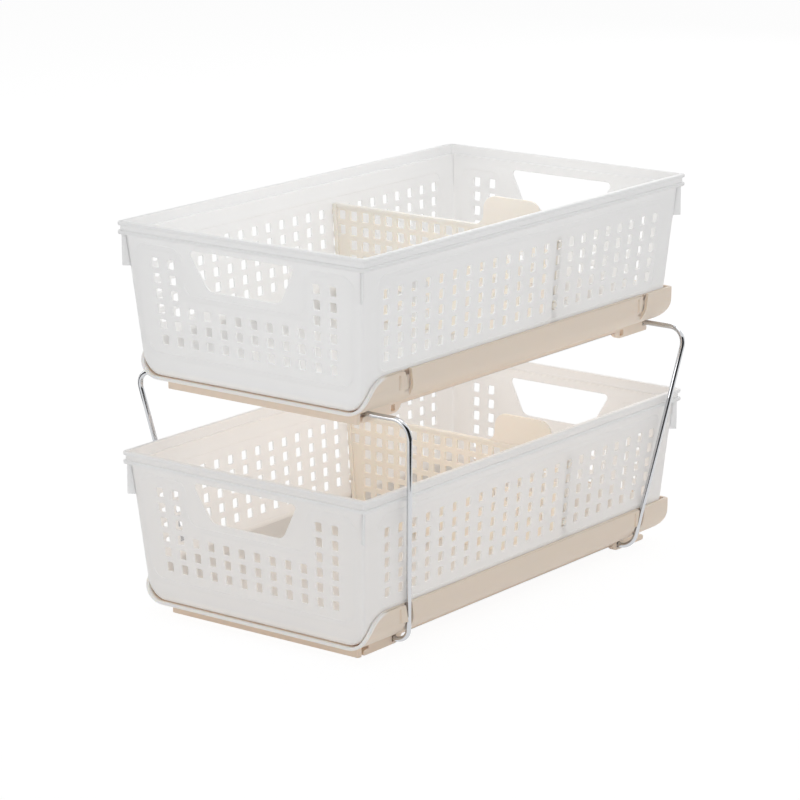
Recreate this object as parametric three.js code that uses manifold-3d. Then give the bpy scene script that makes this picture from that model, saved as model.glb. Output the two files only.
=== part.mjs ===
// Two-tier slide-out organizer: two perforated baskets that slide on trays, held one above the
// other by two bent wire frames, with a removable divider across each basket.
// Millimetres, Z up. X runs across the width, Y from the front (negative) to the back,
// and the origin is on the floor under the middle of the baskets.
import * as THREE from "three";
import { mergeGeometries, mergeVertices } from "three/addons/utils/BufferGeometryUtils.js";
import Module from "manifold-3d";

const wasm = await Module();
wasm.setup();

// Layout
const TIER_PITCH = 177; // feet of the lower tray to feet of the upper tray
const FIT_GAP = 0.3; // clearance between pieces that touch
const CUT_MARGIN = 20; // how far cutters reach past what they cut

// Basket body
const RIM_WIDTH = 234.6; // over the flanges, across X
const RIM_LENGTH = 418; // over the flanges, along Y
const BASKET_HEIGHT = 117.2; // underside to the top of the rim
const BASKET_WALL = 1.8;
const BASKET_FLOOR = 2;
const SIDE_DRAFT = 0.0747; // outward lean of the long walls, run over rise
const END_DRAFT = 0.0963; // outward lean of the front and back walls
const SIDE_OVERHANG = 5.2; // flange tip beyond the long wall just under the rim
const END_OVERHANG = 4.3; // flange tip beyond the end wall just under the rim
const SIDE_BOTTOM_RADIUS = 16; // long bottom edges
const END_BOTTOM_RADIUS = 5; // front and back bottom edges
const WALL_CORNER_RADIUS = 2.6; // upright corners
const RIM_CORNER_RADIUS = 4;

// Basket rim: two flanges on an upright band, with a ledge inside
const FLANGE_THICKNESS = 3;
const FLANGE_PITCH = 6.7; // between the two flanges
const FLANGE_REACH = 2; // beyond the band
const FLANGE_EDGE = 0.8; // how far a flange's lips draw back from its tip
const RIM_BAND = 2; // thickness of the band
const LEDGE_THICKNESS = 2;

// Corner ribs under the rim
const RIB_HEIGHT = 24;
const RIB_THICKNESS = 1.6;
const RIB_EMBED = 0.9; // depth of a rib's root in the wall

// Handle cut-outs in the front and back walls
const HANDLE_DROP = 14.6; // from the top of the rim
const HANDLE_DEPTH = 29.7;
const HANDLE_TOP_WIDTH = 101;
const HANDLE_BOTTOM_WIDTH = 68;
const HANDLE_BOTTOM_RADIUS = 10;

// Hole fields: rows are counted down from the rim, and columns fan out towards it
const HOLE_WIDTH = 6.2;
const HOLE_HEIGHT = 7.4;
const ROW_PITCH = 11.85;
const HANDLE_MARGIN = 10; // least wall between the handle and a hole beside or under it
const END_TOP_DROP = 28.3; // top row of the end walls, from the top of the rim
const END_ROW_FLOOR = 25; // least height of a row over the basket's underside
const END_COLUMN_PITCH = 15.3; // in the top row
const END_MARGIN = 18.4; // least flat wall between the holes and a rounded corner
const END_FAN = 0.0008; // growth of the pitch per millimetre of height
const SIDE_TOP_DROP = 31.4;
const SIDE_ROW_FLOOR = 30;
const SIDE_COLUMN_PITCH = 16.6; // in the top row
const SIDE_MARGIN = 20.4;
const SIDE_FAN = 0.00057;

// Divider
const DIVIDER_THICKNESS = 2.2;
const DIVIDER_DROP = 24.2; // top edge below the top of the rim
const DIVIDER_SIDE_GAP = 0.5;
const DIVIDER_CORNER_EASE = 1; // bottom corners cut wider than the basket's bottom edges
const DIVIDER_EDGE_WIDTH = 3; // stiffened upright edges
const DIVIDER_EDGE_DEPTH = 6;
const TAB_SIDE_GAP = 7.2; // foot of the tab to the divider's right edge
const TAB_TOP_WIDTH = 54;
const TAB_BASE_WIDTH = 70;
const TAB_HEIGHT = 23.8;
const TAB_RADIUS = 11;
const PIN_RADIUS = 2.3;
const PIN_PROUD = 1; // pin end beyond the outside of the wall
const PIN_EMBED = 2.5; // pin root inside the stiffened edge
const UPPER_DIVIDER_COLUMN = 13; // side columns, counted from the front, starting at 0
const LOWER_DIVIDER_COLUMN = 14;

// Tray, which takes its outline from the basket
const TRAY_SIDE_GAP = 1.4; // to the basket's long walls at the tray's top edge
const TRAY_BACK_GAP = 5.5; // to the basket's back wall at the tray's top edge
const TRAY_FRONT_REACH = 2.5; // front edge ahead of the foot of the basket's front wall
const TRAY_TOP = 37; // top of the walls over the feet
const TRAY_UNDERSIDE = 9.3; // floor's underside over the feet
const TRAY_FLOOR = 2.4;
const TRAY_WALL = 2.2;
const TRAY_SIDE_EASE = 0.8; // inner bottom radius beyond the basket's, along the sides
const TRAY_END_EASE = 5.8; // the same along the back
const TRAY_CORNER_RADIUS = 2.6;
const TRAY_FRONT_RADIUS = 26; // top front corners of the side walls
const FOOT_BAR_SETBACK = 12.5; // behind the tray's front edge
const FOOT_BAR_DEPTH = 5;
const RAIL_DEPTH = 3.8; // stiffening rails below the floor, from bracket to bracket
const RAIL_THICKNESS = 2;

// Wire frames and the tray brackets that hold them
const WIRE_DIAMETER = 4.1;
const WIRE_BEND_RADIUS = 13; // along the middle of the wire
const RUN_FRONT_INSET = 22.6; // front frame's top run behind the tray's front edge
const RUN_BACK_INSET = 13.2; // rear frame's top run ahead of the tray's back
const FRAME_LEAN = 32.8; // top run beyond the turned-in ends, along Y
const END_HEIGHT = 4.3; // middle of the turned-in ends over the lower tray's feet
const ANKLE_INSET = 4.6; // bottom corners, before bending, in from the tray's outer face
const LEG_RIM_GAP = 2.2; // legs to the lower basket's rim
const BRACKET_THICKNESS = 5;
const BRACKET_OUTSET = 0.8; // outer face beyond the flat of the tray's floor
const BRACKET_TAIL = 10.5; // bracket beyond the turned-in end, towards the middle
const JAW_REACH = 3.6; // hook under the top run, beyond its middle
const JAW_TIP = 1.5; // rounding of the hook's nose
const WIRE_END_PROUD = 2.3; // wire end beyond the bracket's inner face
const NOTCH_SIDE_GAP = 2.4; // in the tray's wall, on each side of a leg
const NOTCH_INNER_GAP = 0.9; // behind a leg
const WEDGE_LENGTH = 9.5; // detent that a leg snaps over, ahead of its notch
const WEDGE_HEIGHT = 14;
const WEDGE_PROUD = 2.5; // beyond the tray's outer face

// Facets
const CORNER_STEPS = 2;
const BOTTOM_STEPS = 3;
const BEND_STEPS = 4;
const WIRE_SIDES = 8;
const PIN_SIDES = 6;
const CURVE_STEPS = 3;

// Heights over the basket's underside
const RIM_UNDERSIDE = BASKET_HEIGHT - FLANGE_PITCH - FLANGE_THICKNESS;
const LEDGE_TOP = RIM_UNDERSIDE + LEDGE_THICKNESS;
const HANDLE_TOP = BASKET_HEIGHT - HANDLE_DROP;
const HANDLE_BOTTOM = HANDLE_TOP - HANDLE_DEPTH;
const DIVIDER_TOP = BASKET_HEIGHT - DIVIDER_DROP;
const DIVIDER_BOTTOM = BASKET_FLOOR + FIT_GAP;
const DIVIDER_CORNER = SIDE_BOTTOM_RADIUS + DIVIDER_CORNER_EASE;

// Heights over the feet
const TRAY_FLOOR_TOP = TRAY_UNDERSIDE + TRAY_FLOOR;
const BASKET_LIFT = TRAY_FLOOR_TOP + FIT_GAP;
const WIRE_CLEARANCE = WIRE_DIAMETER / 2 + FIT_GAP;
const RUN_HEIGHT = TRAY_UNDERSIDE - WIRE_CLEARANCE;
const FRAME_HEIGHT = TIER_PITCH + RUN_HEIGHT - END_HEIGHT;

// Tray outline, from the basket's walls at the tray's top edge and at its floor
const TRAY_HALF_WIDTH = wallHalfX(TRAY_TOP - BASKET_LIFT) + TRAY_SIDE_GAP + TRAY_WALL;
const TRAY_BACK = wallHalfY(TRAY_TOP - BASKET_LIFT) + TRAY_BACK_GAP + TRAY_WALL;
const TRAY_FRONT = -wallHalfY(0) - TRAY_FRONT_REACH;
const TRAY_SIDE_RADIUS = SIDE_BOTTOM_RADIUS + TRAY_SIDE_EASE + TRAY_WALL;
const TRAY_END_RADIUS = END_BOTTOM_RADIUS + TRAY_END_EASE + TRAY_WALL;
const BRACKET_FACE = TRAY_HALF_WIDTH - TRAY_SIDE_RADIUS + BRACKET_OUTSET;

// Wire frames: the two mirror each other about a centre, and their legs pass the lower rim
const RUN_FRONT = TRAY_FRONT + RUN_FRONT_INSET;
const RUN_BACK = TRAY_BACK - RUN_BACK_INSET;
const FRAME_CENTRE_Y = (RUN_FRONT + RUN_BACK) / 2;
const RUN_REACH = (RUN_BACK - RUN_FRONT) / 2;
const END_REACH = RUN_REACH - FRAME_LEAN;
const ANKLE_HALF = TRAY_HALF_WIDTH - ANKLE_INSET;
const LEG_AT_RIM = RIM_WIDTH / 2 + LEG_RIM_GAP + WIRE_DIAMETER / 2;
const LEG_SPLAY = (LEG_AT_RIM - ANKLE_HALF) / (BASKET_LIFT + RIM_UNDERSIDE - END_HEIGHT);
const SHOULDER_HALF = ANKLE_HALF + LEG_SPLAY * FRAME_HEIGHT;

// Axes for shapes drawn upright
const ALONG_X = new THREE.Vector3(1, 0, 0);
const ALONG_Y = new THREE.Vector3(0, 1, 0);
const ALONG_Z = new THREE.Vector3(0, 0, 1);
const TOWARDS_FRONT = new THREE.Vector3(0, -1, 0);

// Materials
const frosted = new THREE.MeshStandardMaterial({ color: 0xe6eaec, roughness: 0.45, metalness: 0 });
const beige = new THREE.MeshStandardMaterial({ color: 0xe0d5c4, roughness: 0.5, metalness: 0 });
const cream = new THREE.MeshStandardMaterial({ color: 0xe8dfce, roughness: 0.5, metalness: 0 });
const chrome = new THREE.MeshStandardMaterial({ color: 0xc9ccd0, roughness: 0.12, metalness: 1 });

// Outline of a rounded rectangle at one height, counter-clockwise from above
function ring(halfX, halfY, radius, z, centreY = 0) {
  const points = [];
  for (const [quarter, signX, signY] of [[0, 1, 1], [1, -1, 1], [2, -1, -1], [3, 1, -1]]) {
    for (let step = 0; step <= CORNER_STEPS; step += 1) {
      const angle = (quarter + step / CORNER_STEPS) * (Math.PI / 2);
      const x = signX * (halfX - radius) + radius * Math.cos(angle);
      const y = signY * (halfY - radius) + radius * Math.sin(angle);
      points.push(new THREE.Vector3(x, y + centreY, z));
    }
  }
  return points;
}

// Closed skin through a stack of rings: up the outside, over the top edge and down the inside
function loft(rings) {
  const count = rings[0].length;
  const last = (rings.length - 1) * count;
  const index = [];
  for (let start = 0; start < last; start += count) {
    for (let i = 0; i < count; i += 1) {
      const next = (i + 1) % count;
      index.push(start + i, start + next, start + count + next);
      index.push(start + i, start + count + next, start + count + i);
    }
  }
  for (let i = 1; i < count - 1; i += 1) {
    index.push(0, i + 1, i);
    index.push(last, last + i, last + i + 1);
  }
  const geometry = new THREE.BufferGeometry().setFromPoints(rings.flat());
  geometry.setIndex(index);
  return geometry;
}

// How far a rounded bottom edge stands in from its wall at a height over the floor's face
function inset(radius, height) {
  const below = Math.max(0, radius - height);
  return radius - Math.sqrt(radius * radius - below * below);
}

// Heights that step evenly round a bottom edge
function bottomHeights(radius) {
  const heights = [];
  for (let step = 0; step <= BOTTOM_STEPS; step += 1) {
    heights.push(radius * (1 - Math.cos((step / BOTTOM_STEPS) * (Math.PI / 2))));
  }
  return heights;
}

// Shape drawn in Y and Z, made into a bar centred on X
function barAlongX(shape, width) {
  const bar = new THREE.ExtrudeGeometry(shape, {
    depth: width, bevelEnabled: false, curveSegments: CURVE_STEPS,
  });
  bar.translate(0, 0, -width / 2);
  return bar.applyMatrix4(new THREE.Matrix4().makeBasis(ALONG_Y, ALONG_Z, ALONG_X));
}

// Shape drawn in X and Z, made into a bar centred on Y
function barAlongY(shape, length) {
  const bar = new THREE.ExtrudeGeometry(shape, {
    depth: length, bevelEnabled: false, curveSegments: CURVE_STEPS,
  });
  bar.translate(0, 0, -length / 2);
  return bar.applyMatrix4(new THREE.Matrix4().makeBasis(ALONG_X, ALONG_Z, TOWARDS_FRONT));
}

function box(width, depth, height, x, y, z) {
  return new THREE.BoxGeometry(width, depth, height).translate(x, y, z);
}

// Closed geometry as a solid that can be joined and cut
function solid(geometry) {
  const bare = geometry.clone();
  bare.deleteAttribute("normal");
  bare.deleteAttribute("uv");
  const merged = mergeVertices(bare);
  return new wasm.Manifold(new wasm.Mesh({
    numProp: 3,
    vertProperties: Float32Array.from(merged.attributes.position.array),
    triVerts: Uint32Array.from(merged.index.array),
  }));
}

function geometryOf(body) {
  const mesh = body.getMesh();
  const geometry = new THREE.BufferGeometry();
  geometry.setAttribute("position", new THREE.BufferAttribute(mesh.vertProperties, 3));
  geometry.setIndex(new THREE.BufferAttribute(mesh.triVerts, 1));
  geometry.computeVertexNormals();
  return geometry;
}

function piece(name, geometry, material) {
  const mesh = new THREE.Mesh(geometry, material);
  mesh.name = name;
  return mesh;
}

// Half sizes of the basket wall's outer faces at a height over its underside
function wallHalfX(height) {
  return RIM_WIDTH / 2 - SIDE_OVERHANG - SIDE_DRAFT * (RIM_UNDERSIDE - height);
}

function wallHalfY(height) {
  return RIM_LENGTH / 2 - END_OVERHANG - END_DRAFT * (RIM_UNDERSIDE - height);
}

// Ring of the basket's outer wall, or of its inner wall when it is set in by the wall's thickness
function wallRing(height, setIn, rise) {
  return ring(
    wallHalfX(height) - setIn - inset(SIDE_BOTTOM_RADIUS - setIn, rise),
    wallHalfY(height) - setIn - inset(END_BOTTOM_RADIUS - setIn, rise),
    WALL_CORNER_RADIUS - setIn,
    height,
  );
}

// Ring of the rim, set in from the flange tips
function rimRing(height, setIn) {
  const radius = Math.max(RIM_CORNER_RADIUS - setIn, FLANGE_EDGE);
  return ring(RIM_WIDTH / 2 - setIn, RIM_LENGTH / 2 - setIn, radius, height);
}

function flangeRings(bottom) {
  const top = bottom + FLANGE_THICKNESS;
  return [rimRing(bottom, FLANGE_EDGE), rimRing((bottom + top) / 2, 0), rimRing(top, FLANGE_EDGE)];
}

function basketShell() {
  const outside = bottomHeights(SIDE_BOTTOM_RADIUS).map((rise) => wallRing(rise, 0, rise));
  const inside = bottomHeights(SIDE_BOTTOM_RADIUS - BASKET_WALL)
    .map((rise) => wallRing(BASKET_FLOOR + rise, BASKET_WALL, rise))
    .reverse();
  const upperFlange = RIM_UNDERSIDE + FLANGE_PITCH;
  return loft([
    ...outside,
    wallRing(RIM_UNDERSIDE, 0, RIM_UNDERSIDE),
    ...flangeRings(RIM_UNDERSIDE),
    rimRing(RIM_UNDERSIDE + FLANGE_THICKNESS, FLANGE_REACH),
    rimRing(upperFlange, FLANGE_REACH),
    ...flangeRings(upperFlange),
    rimRing(BASKET_HEIGHT, FLANGE_REACH + RIM_BAND),
    rimRing(LEDGE_TOP, FLANGE_REACH + RIM_BAND),
    wallRing(LEDGE_TOP, BASKET_WALL, LEDGE_TOP),
    ...inside,
  ]);
}

// Upright ribs on the diagonals, from the rounded wall corners out to the corners of the rim
function cornerRibs() {
  const roundOff = 1 - Math.SQRT1_2;
  const fromWall = (half, height) => half(height) - WALL_CORNER_RADIUS * roundOff;
  const foot = RIM_UNDERSIDE - RIB_HEIGHT;
  const rimX = RIM_WIDTH / 2 - FLANGE_REACH;
  const rimY = RIM_LENGTH / 2 - FLANGE_REACH;
  const top = new THREE.Vector2(fromWall(wallHalfX, RIM_UNDERSIDE), fromWall(wallHalfY, RIM_UNDERSIDE));
  const low = new THREE.Vector2(fromWall(wallHalfX, foot), fromWall(wallHalfY, foot));
  const rim = new THREE.Vector2(rimX - RIM_CORNER_RADIUS * roundOff, rimY - RIM_CORNER_RADIUS * roundOff);
  const reach = rim.distanceTo(top);
  const lean = top.distanceTo(low);
  const outline = new THREE.Shape();
  outline.moveTo(-RIB_EMBED - lean, foot);
  outline.lineTo(reach, foot);
  outline.lineTo(reach, RIM_UNDERSIDE + LEDGE_THICKNESS / 2);
  outline.lineTo(-RIB_EMBED, RIM_UNDERSIDE + LEDGE_THICKNESS / 2);
  const angle = Math.atan2(rim.y - top.y, rim.x - top.x);
  const ribs = [];
  for (const [signX, signY, turn] of [
    [1, 1, angle], [-1, 1, Math.PI - angle], [-1, -1, Math.PI + angle], [1, -1, -angle],
  ]) {
    const rib = barAlongY(outline, RIB_THICKNESS).rotateZ(turn);
    ribs.push(rib.translate(signX * top.x, signY * top.y, 0));
  }
  return mergeGeometries(ribs);
}

// A wall's field of holes: rows down from the rim, columns centred on the wall and clear of its corners
function holeField(topDrop, rowFloor, columnPitch, fan, wallHalf, margin) {
  const top = BASKET_HEIGHT - topDrop;
  const flat = 2 * (wallHalf(top) - WALL_CORNER_RADIUS - margin) - HOLE_WIDTH;
  const columns = Math.floor(flat / columnPitch) + 1;
  const rows = Math.floor((top - rowFloor) / ROW_PITCH) + 1;
  const place = (column, row) => {
    const height = top - row * ROW_PITCH;
    const pitch = columnPitch * (1 + fan * (height - top));
    return { across: (column - (columns - 1) / 2) * pitch, height };
  };
  return { columns, rows, place };
}

const endField = holeField(
  END_TOP_DROP, END_ROW_FLOOR, END_COLUMN_PITCH, END_FAN, wallHalfX, END_MARGIN,
);
const sideField = holeField(
  SIDE_TOP_DROP, SIDE_ROW_FLOOR, SIDE_COLUMN_PITCH, SIDE_FAN, wallHalfY, SIDE_MARGIN,
);

// Bars along Y that cut the holes of the front and back walls together, clear of the handles
function endHoleBars() {
  const bars = [];
  for (let row = 0; row < endField.rows; row += 1) {
    for (let column = 0; column < endField.columns; column += 1) {
      const { across, height } = endField.place(column, row);
      const beside = Math.abs(across) - HOLE_WIDTH / 2 > HANDLE_TOP_WIDTH / 2 + HANDLE_MARGIN;
      const under = height + HOLE_HEIGHT / 2 < HANDLE_BOTTOM - HANDLE_MARGIN;
      if (beside || under) {
        bars.push(box(HOLE_WIDTH, RIM_LENGTH + CUT_MARGIN, HOLE_HEIGHT, across, 0, height));
      }
    }
  }
  return mergeGeometries(bars);
}

// Bars along X that cut the holes of both long walls together
function sideHoleBars() {
  const bars = [];
  for (let row = 0; row < sideField.rows; row += 1) {
    for (let column = 0; column < sideField.columns; column += 1) {
      const { across, height } = sideField.place(column, row);
      bars.push(box(RIM_WIDTH + CUT_MARGIN, HOLE_WIDTH, HOLE_HEIGHT, 0, across, height));
    }
  }
  return mergeGeometries(bars);
}

// Bar along Y with the outline of the handle cut-outs: wide at the top, rounded at the bottom
function handleBar() {
  const slope = (HANDLE_TOP_WIDTH - HANDLE_BOTTOM_WIDTH) / 2 / HANDLE_DEPTH;
  const halfBottom = HANDLE_BOTTOM_WIDTH / 2;
  const outline = new THREE.Shape();
  outline.moveTo(-HANDLE_TOP_WIDTH / 2, HANDLE_TOP);
  outline.lineTo(-halfBottom - slope * HANDLE_BOTTOM_RADIUS, HANDLE_BOTTOM + HANDLE_BOTTOM_RADIUS);
  outline.quadraticCurveTo(
    -halfBottom, HANDLE_BOTTOM, -halfBottom + HANDLE_BOTTOM_RADIUS, HANDLE_BOTTOM,
  );
  outline.lineTo(halfBottom - HANDLE_BOTTOM_RADIUS, HANDLE_BOTTOM);
  outline.quadraticCurveTo(
    halfBottom, HANDLE_BOTTOM,
    halfBottom + slope * HANDLE_BOTTOM_RADIUS, HANDLE_BOTTOM + HANDLE_BOTTOM_RADIUS,
  );
  outline.lineTo(HANDLE_TOP_WIDTH / 2, HANDLE_TOP);
  return barAlongY(outline, RIM_LENGTH + CUT_MARGIN);
}

function basketGeometry() {
  const body = solid(basketShell()).add(solid(cornerRibs()));
  const cut = body.subtract(solid(handleBar())).subtract(solid(endHoleBars()));
  return geometryOf(cut.subtract(solid(sideHoleBars())));
}

// Half width of a divider at a height over the basket's underside
function dividerHalf(height) {
  return wallHalfX(height) - BASKET_WALL - DIVIDER_SIDE_GAP;
}

// Divider panel across the basket, with a grip tab on its top edge
function dividerPanel() {
  const bottom = DIVIDER_BOTTOM;
  const half = dividerHalf;
  const side = bottom + DIVIDER_CORNER;
  const tabTop = DIVIDER_TOP + TAB_HEIGHT;
  const tabCentre = half(DIVIDER_TOP) - TAB_SIDE_GAP - TAB_BASE_WIDTH / 2;
  const tabLeft = tabCentre - TAB_TOP_WIDTH / 2;
  const tabRight = tabCentre + TAB_TOP_WIDTH / 2;
  const baseLeft = tabCentre - TAB_BASE_WIDTH / 2;
  const baseRight = tabCentre + TAB_BASE_WIDTH / 2;
  const outline = new THREE.Shape();
  outline.moveTo(-half(bottom) + DIVIDER_CORNER, bottom);
  outline.lineTo(half(bottom) - DIVIDER_CORNER, bottom);
  outline.quadraticCurveTo(half(bottom), bottom, half(side), side);
  outline.lineTo(half(DIVIDER_TOP), DIVIDER_TOP);
  outline.lineTo(baseRight, DIVIDER_TOP);
  outline.quadraticCurveTo(tabRight, DIVIDER_TOP, tabRight, DIVIDER_TOP + TAB_RADIUS);
  outline.quadraticCurveTo(tabRight, tabTop, tabRight - TAB_RADIUS, tabTop);
  outline.lineTo(tabLeft + TAB_RADIUS, tabTop);
  outline.quadraticCurveTo(tabLeft, tabTop, tabLeft, DIVIDER_TOP + TAB_RADIUS);
  outline.quadraticCurveTo(tabLeft, DIVIDER_TOP, baseLeft, DIVIDER_TOP);
  outline.lineTo(-half(DIVIDER_TOP), DIVIDER_TOP);
  outline.lineTo(-half(side), side);
  outline.quadraticCurveTo(-half(bottom), bottom, -half(bottom) + DIVIDER_CORNER, bottom);
  return barAlongY(outline, DIVIDER_THICKNESS);
}

// Stiffened upright edge of the divider, leaning with the basket's wall
function dividerEdge(sign) {
  const low = DIVIDER_BOTTOM + DIVIDER_CORNER;
  const half = dividerHalf;
  const outline = new THREE.Shape();
  outline.moveTo(sign * (half(low) - DIVIDER_EDGE_WIDTH), low);
  outline.lineTo(sign * half(low), low);
  outline.lineTo(sign * half(DIVIDER_TOP), DIVIDER_TOP);
  outline.lineTo(sign * (half(DIVIDER_TOP) - DIVIDER_EDGE_WIDTH), DIVIDER_TOP);
  return barAlongY(outline, DIVIDER_EDGE_DEPTH);
}

// Round pin that reaches through a hole of the long wall
function dividerPin(sign, offsetY, height) {
  const root = dividerHalf(height) - PIN_EMBED;
  const length = wallHalfX(height) + PIN_PROUD - root;
  const pin = new THREE.CylinderGeometry(PIN_RADIUS, PIN_RADIUS, length, PIN_SIDES);
  return pin.rotateZ(Math.PI / 2).translate(sign * (root + length / 2), offsetY, height);
}

// Holes that take a divider's pins: those of the top and bottom rows in its column
function pinHoles(column) {
  return [sideField.place(column, 0), sideField.place(column, sideField.rows - 1)];
}

// Place of a divider along Y: midway between its pins' holes
function dividerY(column) {
  const [top, bottom] = pinHoles(column);
  return (top.across + bottom.across) / 2;
}

function dividerGeometry(column) {
  let body = solid(dividerPanel());
  for (const sign of [-1, 1]) {
    body = body.add(solid(dividerEdge(sign)));
    for (const { across, height } of pinHoles(column)) {
      body = body.add(solid(dividerPin(sign, across - dividerY(column), height)));
    }
  }
  return geometryOf(body);
}

// Ring of the tray's pan, whose front end is made long and cut off
function panRing(height, setIn, rise) {
  const front = TRAY_FRONT - TRAY_FRONT_RADIUS - CUT_MARGIN;
  return ring(
    TRAY_HALF_WIDTH - setIn - inset(TRAY_SIDE_RADIUS - setIn, rise),
    (TRAY_BACK - front) / 2 - setIn - inset(TRAY_END_RADIUS - setIn, rise),
    TRAY_CORNER_RADIUS - setIn,
    height,
    (TRAY_BACK + front) / 2,
  );
}

function panShell() {
  const outside = bottomHeights(TRAY_SIDE_RADIUS)
    .map((rise) => panRing(TRAY_UNDERSIDE + rise, 0, rise));
  const inside = bottomHeights(TRAY_SIDE_RADIUS - TRAY_WALL)
    .map((rise) => panRing(TRAY_FLOOR_TOP + rise, TRAY_WALL, rise))
    .reverse();
  return loft([
    ...outside,
    panRing(TRAY_TOP, 0, TRAY_TOP),
    panRing(TRAY_TOP, TRAY_WALL, TRAY_TOP),
    ...inside,
  ]);
}

// All that lies ahead of the tray's open front, with the side walls' top corners rounded
function panFront() {
  const far = TRAY_FRONT - TRAY_FRONT_RADIUS - 2 * CUT_MARGIN;
  const outline = new THREE.Shape();
  outline.moveTo(far, -CUT_MARGIN);
  outline.lineTo(TRAY_FRONT, -CUT_MARGIN);
  outline.lineTo(TRAY_FRONT, TRAY_TOP - TRAY_FRONT_RADIUS);
  outline.absarc(
    TRAY_FRONT + TRAY_FRONT_RADIUS, TRAY_TOP - TRAY_FRONT_RADIUS, TRAY_FRONT_RADIUS,
    Math.PI, Math.PI / 2, true,
  );
  outline.lineTo(TRAY_FRONT + TRAY_FRONT_RADIUS, TRAY_TOP + CUT_MARGIN);
  outline.lineTo(far, TRAY_TOP + CUT_MARGIN);
  return barAlongX(outline, 2 * TRAY_HALF_WIDTH + CUT_MARGIN);
}

// Middle of a frame's leg, as if it ran straight to its corners, at a height over the lower feet
function legPlace(signX, signY, height) {
  const rise = height - END_HEIGHT;
  const x = ANKLE_HALF + LEG_SPLAY * rise;
  const y = END_REACH + FRAME_LEAN * (rise / FRAME_HEIGHT);
  return new THREE.Vector3(signX * x, FRAME_CENTRE_Y + signY * y, height);
}

// Slot along a leg, which lets it through the tray's side wall
function legNotch(signX, signY) {
  const low = legPlace(signX, signY, END_HEIGHT);
  const high = legPlace(signX, signY, TRAY_TOP + CUT_MARGIN);
  const inner = WIRE_DIAMETER / 2 + NOTCH_INNER_GAP;
  const depth = inner + CUT_MARGIN;
  const width = WIRE_DIAMETER + 2 * NOTCH_SIDE_GAP;
  const slot = box(depth, width, high.distanceTo(low), signX * (depth / 2 - inner), 0, 0);
  const along = high.clone().sub(low).normalize();
  slot.applyQuaternion(new THREE.Quaternion().setFromUnitVectors(ALONG_Z, along));
  const middle = low.add(high).divideScalar(2);
  return slot.translate(middle.x, middle.y, middle.z);
}

// Detent on the tray's outer face that rises towards the notch behind it
function detentWedge(signX, signY) {
  const end = legPlace(signX, signY, TRAY_TOP).y;
  const root = TRAY_HALF_WIDTH - TRAY_WALL / 2;
  const outline = new THREE.Shape();
  outline.moveTo(signX * root, end);
  outline.lineTo(signX * root, end - WEDGE_LENGTH);
  outline.lineTo(signX * TRAY_HALF_WIDTH, end - WEDGE_LENGTH);
  outline.lineTo(signX * (TRAY_HALF_WIDTH + WEDGE_PROUD), end);
  const wedge = new THREE.ExtrudeGeometry(outline, { depth: WEDGE_HEIGHT, bevelEnabled: false });
  return wedge.translate(0, 0, TRAY_TOP - WEDGE_HEIGHT);
}

// Bracket under the tray: a hook for a frame's top run and a square hole for a turned-in end
function bracket(signX, signY) {
  const root = TRAY_UNDERSIDE + TRAY_FLOOR / 2;
  const jawTop = RUN_HEIGHT - WIRE_CLEARANCE;
  const nose = RUN_REACH + JAW_REACH;
  const throat = RUN_REACH - WIRE_CLEARANCE;
  const tail = END_REACH - BRACKET_TAIL;
  const outline = new THREE.Shape();
  outline.moveTo(throat, root);
  outline.lineTo(throat, jawTop);
  outline.lineTo(nose - JAW_TIP, jawTop);
  outline.quadraticCurveTo(nose, jawTop, nose, jawTop / 2);
  outline.quadraticCurveTo(nose, 0, nose - JAW_TIP, 0);
  outline.lineTo(tail + TRAY_UNDERSIDE, 0);
  outline.quadraticCurveTo(tail, 0, tail, TRAY_UNDERSIDE);
  outline.lineTo(tail, root);
  const hole = new THREE.Path();
  const edge = WIRE_CLEARANCE;
  hole.moveTo(END_REACH - edge, END_HEIGHT - edge);
  hole.lineTo(END_REACH + edge, END_HEIGHT - edge);
  hole.lineTo(END_REACH + edge, END_HEIGHT + edge);
  hole.lineTo(END_REACH - edge, END_HEIGHT + edge);
  outline.holes.push(hole);
  const plate = barAlongX(outline, BRACKET_THICKNESS);
  const x = signX * (BRACKET_FACE - BRACKET_THICKNESS / 2);
  return plate.rotateZ(signY < 0 ? Math.PI : 0).translate(x, FRAME_CENTRE_Y, 0);
}

function footBar() {
  const top = TRAY_UNDERSIDE + TRAY_FLOOR / 2;
  const y = TRAY_FRONT + FOOT_BAR_SETBACK + FOOT_BAR_DEPTH / 2;
  return box(2 * BRACKET_FACE, FOOT_BAR_DEPTH, top, 0, y, top / 2);
}

// Rail under the floor between the front and rear brackets of one side
function rail(signX) {
  const height = RAIL_DEPTH + TRAY_FLOOR / 2;
  const x = signX * (BRACKET_FACE - RAIL_THICKNESS / 2);
  const z = TRAY_UNDERSIDE - RAIL_DEPTH + height / 2;
  const length = 2 * (END_REACH - BRACKET_TAIL / 2);
  return box(RAIL_THICKNESS, length, height, x, FRAME_CENTRE_Y, z);
}

function trayGeometry() {
  let body = solid(panShell()).subtract(solid(panFront())).add(solid(footBar()));
  for (const signX of [-1, 1]) {
    body = body.add(solid(rail(signX)));
    for (const signY of [-1, 1]) {
      body = body.add(solid(detentWedge(signX, signY))).subtract(solid(legNotch(signX, signY)));
      body = body.add(solid(bracket(signX, signY)));
    }
  }
  return geometryOf(body);
}

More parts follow.
